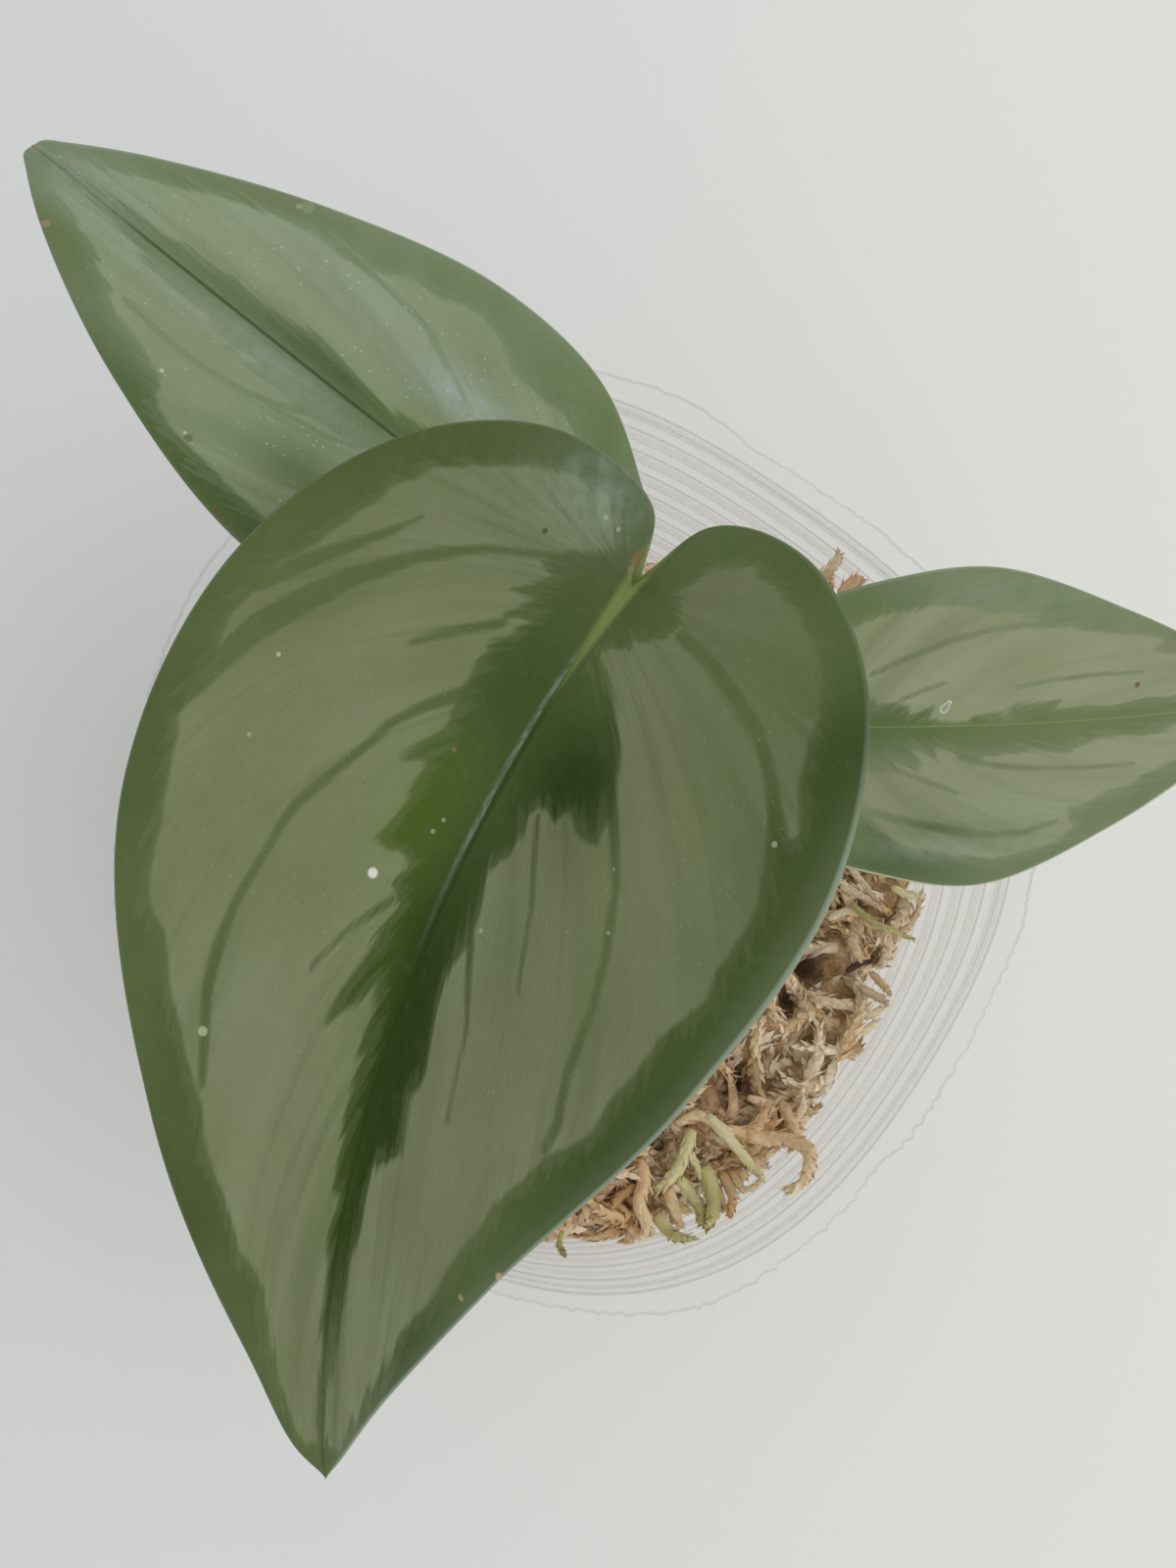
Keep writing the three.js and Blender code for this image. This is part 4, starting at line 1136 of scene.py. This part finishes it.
def leaf_finish(side, silver, greens, midrib, edge_tone, edge_start, pale_edge, gleam, seed, sparkle):
    """A silvered blade: crisp feathered silver over green, dark veins, small marks and a paler back, with
    painted sheen, painted glints and a painted highlight along the margin.

    silver and greens are colours, greens being two of the margin, the deep one and the fresh one. midrib is
    the colour, half width in millimetres and strength of the line along it, which where it is dark also
    paints the shade in the midrib's crease. edge_tone is the colour of the painted highlight along the
    margin, which starts at edge_start of the way out from the midrib and is strongest on the half that
    pale_edge names: 1 the right half and -1 the left. gleam and sparkle are how strong the painted glints
    beside the midrib and all over are.
    """
    leaf = Finish(side + " blade")
    veins = leaf.node("UVMap", {"uv_map": "veins"})
    flat = leaf.node("UVMap", {"uv_map": "flat"})
    where = leaf.place()
    shifted = leaf.node("VectorMath", {"operation": "ADD"}, {0: veins, 1: (seed, seed * 2.0, 0.0)})
    streaks = leaf.noise(leaf.stretched(shifted, 50.0, 2.4, 1.0), 1.0, 2.0, 0.5) - 0.5
    fine_streaks = leaf.noise(leaf.stretched(shifted, 150.0, 6.0, 1.0), 1.0, 1.0) - 0.5
    rib = leaf.field("rib")
    near_rib = rib.between(20.0, 2.0)
    feather = streaks * (0.9 + 1.7 * near_rib) + fine_streaks * (0.35 + 0.4 * near_rib)
    inside = leaf.field("silver") + feather
    full = inside.between(-0.28, 0.34)
    halo = (inside + 0.9 + 3.0 * fine_streaks).between(-0.3, 0.4)
    line = (leaf.field("vein") + 0.4 * fine_streaks).between(-0.4, 0.2)
    strength = (0.8 * full + 0.2 * halo) * (1 - 0.8 * line) * (1 - 0.55 * leaf.field("dull"))
    patches = leaf.noise(where, 55.0, 3.0, 0.55)
    grain = leaf.noise(where, 900.0, 2.0)
    fibres = leaf.noise(leaf.stretched(shifted, 420.0, 26.0, 1.0), 1.0, 1.0)
    green = leaf.mix(patches.between(0.3, 0.7), colour(greens[0]), colour(greens[1]))
    green = leaf.mix(leaf.field("deep"), green, colour(greens[2]))
    green = leaf.mix(leaf.field("fresh"), green, colour(greens[3]))
    pale = leaf.mix(patches.between(0.25, 0.75), colour(silver[0]), colour(silver[1]))
    pale = leaf.mix(fibres.between(0.35, 0.75) * 0.15, pale, colour(silver[2]))
    broad = leaf.noise(leaf.stretched(shifted, 15.0, 0.9, 1.0), 1.0, 2.0, 0.6)
    pale = leaf.mix(broad.between(0.5, 0.7) * 0.25, pale, colour(silver[2]))
    pale = leaf.mix(broad.between(0.5, 0.3) * 0.3, pale, green)
    pale = leaf.mix(leaf.field("fresh") * 0.45, pale, colour("788a48"))
    long_streaks = leaf.noise(leaf.stretched(shifted, 60.0, 1.3, 1.0), 1.0, 3.0)
    pale = leaf.mix(long_streaks.between(0.5, 0.7) * 0.22, pale, green)
    tone = leaf.mix(strength, green, pale)
    speckle = leaf.noise(where, 700.0, 3.0, 0.6).between(0.35, 0.65)
    # painted sheen: a pale blue-grey highlight laid over the blade in broad patches, broken up by speckle
    # and streaks
    film = leaf.field("film") * (0.25 + 0.3 * speckle + 0.2 * long_streaks.between(0.58, 0.42))
    tone = leaf.mix(film, tone, colour("aab9b0"))
    tone = leaf.mix((grain - 0.5).between(0.0, 0.35) * 0.05, tone, colour("a9b39a"))
    # painted glints: tiny pale specks of glitter, more on the silver, as strong as sparkle
    cells = leaf.node("TexVoronoi", None, {"Vector": where, "Scale": 1200.0})
    glints = cells.between(0.15, 0.06) * leaf.noise(where, 300.0, 1.0).between(0.4, 0.5)
    glints = glints * (0.25 + 0.75 * full)
    tone = leaf.mix(glints * sparkle, tone, colour("ccd3c4"))
    along = leaf.node("SeparateXYZ", None, {0: flat}, "Y")
    outward = leaf.node("SeparateXYZ", None, {0: veins}, "Y")
    # a line along the midrib; where its colour is dark, on the front and left blades, it is painted shade
    # in the midrib's crease together with its darker green
    crease = rib.between(midrib[1], 0.3 * midrib[1]) * (1 - along.between(0.7, 0.92))
    tone = leaf.mix(crease * midrib[2], tone, colour(midrib[0]))
    # painted highlight: a thin pale blue streak just beside the midrib, in blotches, as strong as gleam
    shine = leaf.noise(leaf.stretched(shifted, 60.0, 40.0, 1.0), 1.0, 3.0, 0.7).between(0.42, 0.62)
    beside = rib.between(0.2, 0.4) * rib.between(1.0, 0.5) * outward.between(0.0, 0.002)
    beside = beside * along.between(0.04, 0.14) * along.between(0.4, 0.2) * (0.3 + 0.7 * shine)
    tone = leaf.mix(beside * gleam, tone, colour("a9c0b4"))
    ridge = (rib + 9.0 * along).between(1.4, 0.5)
    tone = leaf.mix(ridge * 0.7, tone, colour("8a9754"))
    for *spot, tint, share in MARKS[side]:
        x, y, radius = (value / DRAWN_LENGTH for value in spot)
        away = leaf.node("VectorMath", {"operation": "DISTANCE"}, {0: flat, 1: (x, y, 0.0)}, "Value")
        mark = (away + radius * (patches - 0.5) * 2.0).between(radius * 1.2, radius * 0.7)
        tone = leaf.mix(mark * share, tone, colour(tint))
    back = leaf.mix(patches, colour("8b9a72"), colour("7d8d66"))
    under = leaf.field("under")
    tone = leaf.mix(under.between(0.6, 0.95), tone, back)
    # painted highlight: the rim of the margin and a strip inside it are paler, strongest on the lit half
    # that pale_edge names
    edge = under.between(0.1, 0.45) * (1 - under.between(0.55, 0.9))
    # painted sheen near the base of the margin on that half
    painted_margin_sheen = (outward * pale_edge).between(0.88, 1.0) * along.between(0.0, 0.15)
    painted_margin_sheen = painted_margin_sheen * (1 - under.between(0.4, 0.5))
    tone = leaf.mix(painted_margin_sheen * 0.16, tone, colour("8f9c84"))
    rounded = outward.math("ABSOLUTE", outward).between(edge_start, edge_start + 0.016)
    rounded = rounded * (1 - under.between(0.6, 0.95))
    lit = (outward * pale_edge).between(-0.2, 0.2) * along.between(-0.02, 0.15)
    edge = edge.math("MAXIMUM", edge, 0.8 * rounded) * (0.15 + 0.55 * lit)
    tone = leaf.mix(edge, tone, colour(edge_tone))
    relief = leaf.bump(fibres * 0.3 + grain * 0.25 - 0.6 * line - 0.2 * full, 0.00025, 0.6)
    rough = 0.55 + 0.1 * grain - 0.06 * full
    return leaf.surface(Base_Color=tone, Roughness=rough, Normal=relief, Specular_IOR_Level=0.17)


def cup_finish():
    """Clear thin plastic: hardly there, a little greyer on the ribs, with a painted white highlight in each
    groove and a fine dark line at each step.
    """
    cup = Finish("clear plastic")
    where = cup.place()
    z = cup.node("SeparateXYZ", None, {0: where}, "Z")
    facing = cup.node("LayerWeight", None, {"Blend": 0.35}, "Facing")
    foot = (CUP_HEIGHT - PLAIN_BAND) * MM
    phase = (foot - z) / (RIB_PITCH * MM)
    step = phase.math("FRACT", phase)
    below = z.between(foot + 0.0002, foot - 0.0001)
    groove = step.between(0.05, 0.09) * (1 - step.between(0.42, 0.5))
    lines = step.between(0.005, 0.02) * (1 - step.between(0.035, 0.055))
    second = phase.between(0.25, 0.27) * (1 - phase.between(0.29, 0.31))
    rim = cup.field("rim").between(0.8, 0.97)
    outside = cup.field("outside")
    cloud = cup.noise(where, 60.0, 3.0)
    scuffs = cup.noise(cup.stretched(where, 1.0, 1.0, 2.0), 420.0, 2.0).between(0.76, 0.8)
    drawn = (below * (0.28 * lines + 0.18 * second) + 0.3 * scuffs * cloud) * outside + 0.18 * rim
    ribs = below * (1 - groove) * outside
    steep = 0.4 + 0.6 * facing.between(0.05, 0.3)
    # the white haze in the grooves, strongest where the wall is seen edge on, is a painted highlight
    haze = 0.01 + 0.02 * cloud + (0.02 * ribs + 0.3 * below * groove * outside) * steep
    haze = haze + 0.2 * facing.math("POWER", facing, 5.0)
    tone = cup.mix(ribs, colour("fbfbf8"), colour("a2a3a0"))
    tone = cup.mix((4.0 * drawn).between(0.0, 1.0), tone, colour("858884"))
    scratches = cup.noise(cup.stretched(where, 1.0, 1.0, 9.0), 500.0, 2.0)
    relief = cup.bump(scratches, 0.00005, 0.3)
    return cup.surface(
        Base_Color=tone, Roughness=0.16 + 0.1 * cloud, Normal=relief, Alpha=haze + drawn, IOR=1.49,
    )


def moss_finish(name, dark, middle, light, warm):
    """Dry scaly strands: every strand has its own tint, some clumps are warmer, and painted shade darkens
    the root of each scale and the strands in the hollows.
    """
    moss = Finish(name)
    where = moss.place()
    tint = moss.field("tint")
    mottle = moss.noise(where, 260.0, 3.0, 0.6)
    # painted shade: each scale darker at its root and paler at its tip, with the strand's tint and a mottle
    blend = (0.42 * tint + 0.4 * moss.field("tip") + 0.35 * mottle).between(0.0, 0.95)
    tone = moss.ramp(blend, (0.0, colour(dark)), (0.5, colour(middle)), (1.0, colour(light)))
    clump = moss.noise(where, 90.0, 2.0)
    tone = moss.mix(clump.between(0.5, 0.68) * 0.45, tone, colour(warm))
    fibres = moss.noise(moss.stretched(where, 1.0, 1.0, 0.3), 2600.0, 2.0)
    tone = moss.mix(fibres.between(0.5, 0.8) * 0.2, tone, colour(dark))
    # darker and browner in the hollows: painted shade, with the browner colour of the deeper moss
    tone = moss.mix(moss.field("sunk").between(0.3, 0.95) * 0.8, tone, colour("5f4229"))
    relief = moss.bump(fibres, 0.0003, 0.6)
    return moss.surface(Base_Color=tone, Roughness=0.85, Normal=relief, Specular_IOR_Level=0.25)


def peat_finish():
    peat = Finish("packed moss")
    where = peat.place()
    mottle = peat.noise(where, 420.0, 4.0, 0.6)
    tone = peat.ramp(mottle, (0.3, colour("8c6a48")), (0.5, colour("c09c72")), (0.72, colour("e0c49c")))
    # darker and browner in the hollows: painted shade, with the browner colour of the deeper moss
    tone = peat.mix(peat.field("sunk").between(0.2, 0.8) * 0.85, tone, colour("543a24"))
    return peat.surface(Base_Color=tone, Roughness=0.95, Normal=peat.bump(mottle, 0.002, 0.9))


def skin_finish(name, pale, dark, scale):
    skin = Finish(name)
    where = skin.place()
    streaks = skin.noise(skin.stretched(where, 1.0, 1.0, 0.25), scale, 3.0)
    tone = skin.mix(streaks.between(0.35, 0.7), colour(pale), colour(dark))
    return skin.surface(Base_Color=tone, Roughness=0.5, Normal=skin.bump(streaks, 0.0003, 0.5))


PEAT = peat_finish()
STRAW = moss_finish("dry moss", "bf966b", "e9cca2", "faeed8", "dcaa78")
GREEN_MOSS = moss_finish("green moss", "b5af6f", "d7cc97", "ebe1be", "c6c07f")
DARK_MOSS = moss_finish("dark flake", "3e2c2c", "5a4444", "735a58", "463232")
RUST_MOSS = moss_finish("rust moss", "c8976c", "e2bb95", "eed4b6", "d8a982")

make_cup(cup_finish())
make_moss()
make_stem(skin_finish("stem skin", "6c7f43", "8a7a4a", 420.0))
STALK = skin_finish("stalk skin", "94a650", "7d9043", 600.0)
BLADE_LOOKS = {
    "front": dict(
        silver=("818a66", "777e58", "8f9774"), greens=("525f31", "5b6a3c", "293e02", "496216"),
        midrib=("26380c", 0.45, 0.6), edge_tone="aab5a2", edge_start=0.982, pale_edge=-1.0,
        gleam=0.4, seed=3.0, sparkle=0.15,
    ),
    "left": dict(
        silver=("929f80", "878f6e", "9faa8e"), greens=("707d56", "7d8c6a", "485a2a", "5f7338"),
        midrib=("3c4a26", 0.32, 0.8), edge_tone="a3b398", edge_start=0.982, pale_edge=1.0,
        gleam=0.0, seed=11.0, sparkle=0.65,
    ),
    "right": dict(
        silver=("979d7e", "8c916c", "a0a68a"), greens=("6c7953", "7d8866", "405a2a", "64772f"),
        midrib=("98a670", 0.13, 0.35), edge_tone="dde0bf", edge_start=0.972, pale_edge=1.0,
        gleam=0.0, seed=23.0, sparkle=0.12,
    ),
}
for leaf_side, leaf_shape in LEAVES.items():
    make_petiole(leaf_side, leaf_shape, STALK)
    make_blade(leaf_side, leaf_shape, leaf_finish(leaf_side, **BLADE_LOOKS[leaf_side]))

# The studio


def make_floor():
    paper = Finish("pale paper")
    x = paper.node("SeparateXYZ", None, {0: paper.place()}, "X")
    # painted light: darker towards the left and paler far away, standing in for how the light falls across
    # the floor
    tone = paper.ramp(x.between(-0.14, 0.15), (0.0, colour("dedfe0")), (1.0, colour("e9e8e3")))
    far = paper.node("VectorMath", {"operation": "LENGTH"}, {0: paper.place()}, "Value")
    tone = paper.mix(far.between(0.5, 1.6), tone, colour("f6f6f3"))
    half, level = 4000.0, -0.05
    corners = [(-half, -half, level), (half, -half, level), (half, half, level), (-half, half, level)]
    surface = paper.surface(Base_Color=tone, Roughness=0.9)
    new_piece("floor", corners, [[0, 1, 2, 3]], surface)


def add_light(name, place, aim, size, power, tint):
    data = bpy.data.lights.new(name, "AREA")
    data.shape = "DISK"
    data.size = size
    data.energy = power
    data.color = tint
    light = bpy.data.objects.new(name, data)
    light.location = place
    light.rotation_euler = (Vector(aim) - Vector(place)).to_track_quat("-Z", "Y").to_euler()
    bpy.context.scene.collection.objects.link(light)


def add_camera():
    """The photograph's view: nearly straight down, from close above the leaves."""
    eye = Vector((-0.040, -0.020, 0.250))
    target = Vector((-0.0021, 0.0037, 0.092))
    ahead = (target - eye).normalized()
    right = ahead.cross(Vector((0, 1, 0))).normalized()
    up = right.cross(ahead)
    data = bpy.data.cameras.new("camera")
    data.sensor_width = 36.0
    data.lens = 33.75
    data.clip_start = 0.01
    camera = bpy.data.objects.new("camera", data)
    turn = Matrix((right, up, -ahead)).transposed()
    camera.matrix_world = Matrix.Translation(eye) @ turn.to_4x4()
    bpy.context.scene.collection.objects.link(camera)
    bpy.context.scene.camera = camera


make_floor()
add_light(
    "window", place=(0.75, -0.2, 1.1), aim=(0, 0, 0.05), size=2.3, power=5.8, tint=(1.0, 0.98, 0.96),
)
world = bpy.data.worlds.new("daylight")
world.use_nodes = True
room_light = world.node_tree.nodes["Background"].inputs
room_light["Color"].default_value = (0.85, 0.865, 0.87, 1)
room_light["Strength"].default_value = 0.86
bpy.context.scene.world = world
bpy.context.scene.view_settings.view_transform = "Standard"
add_camera()
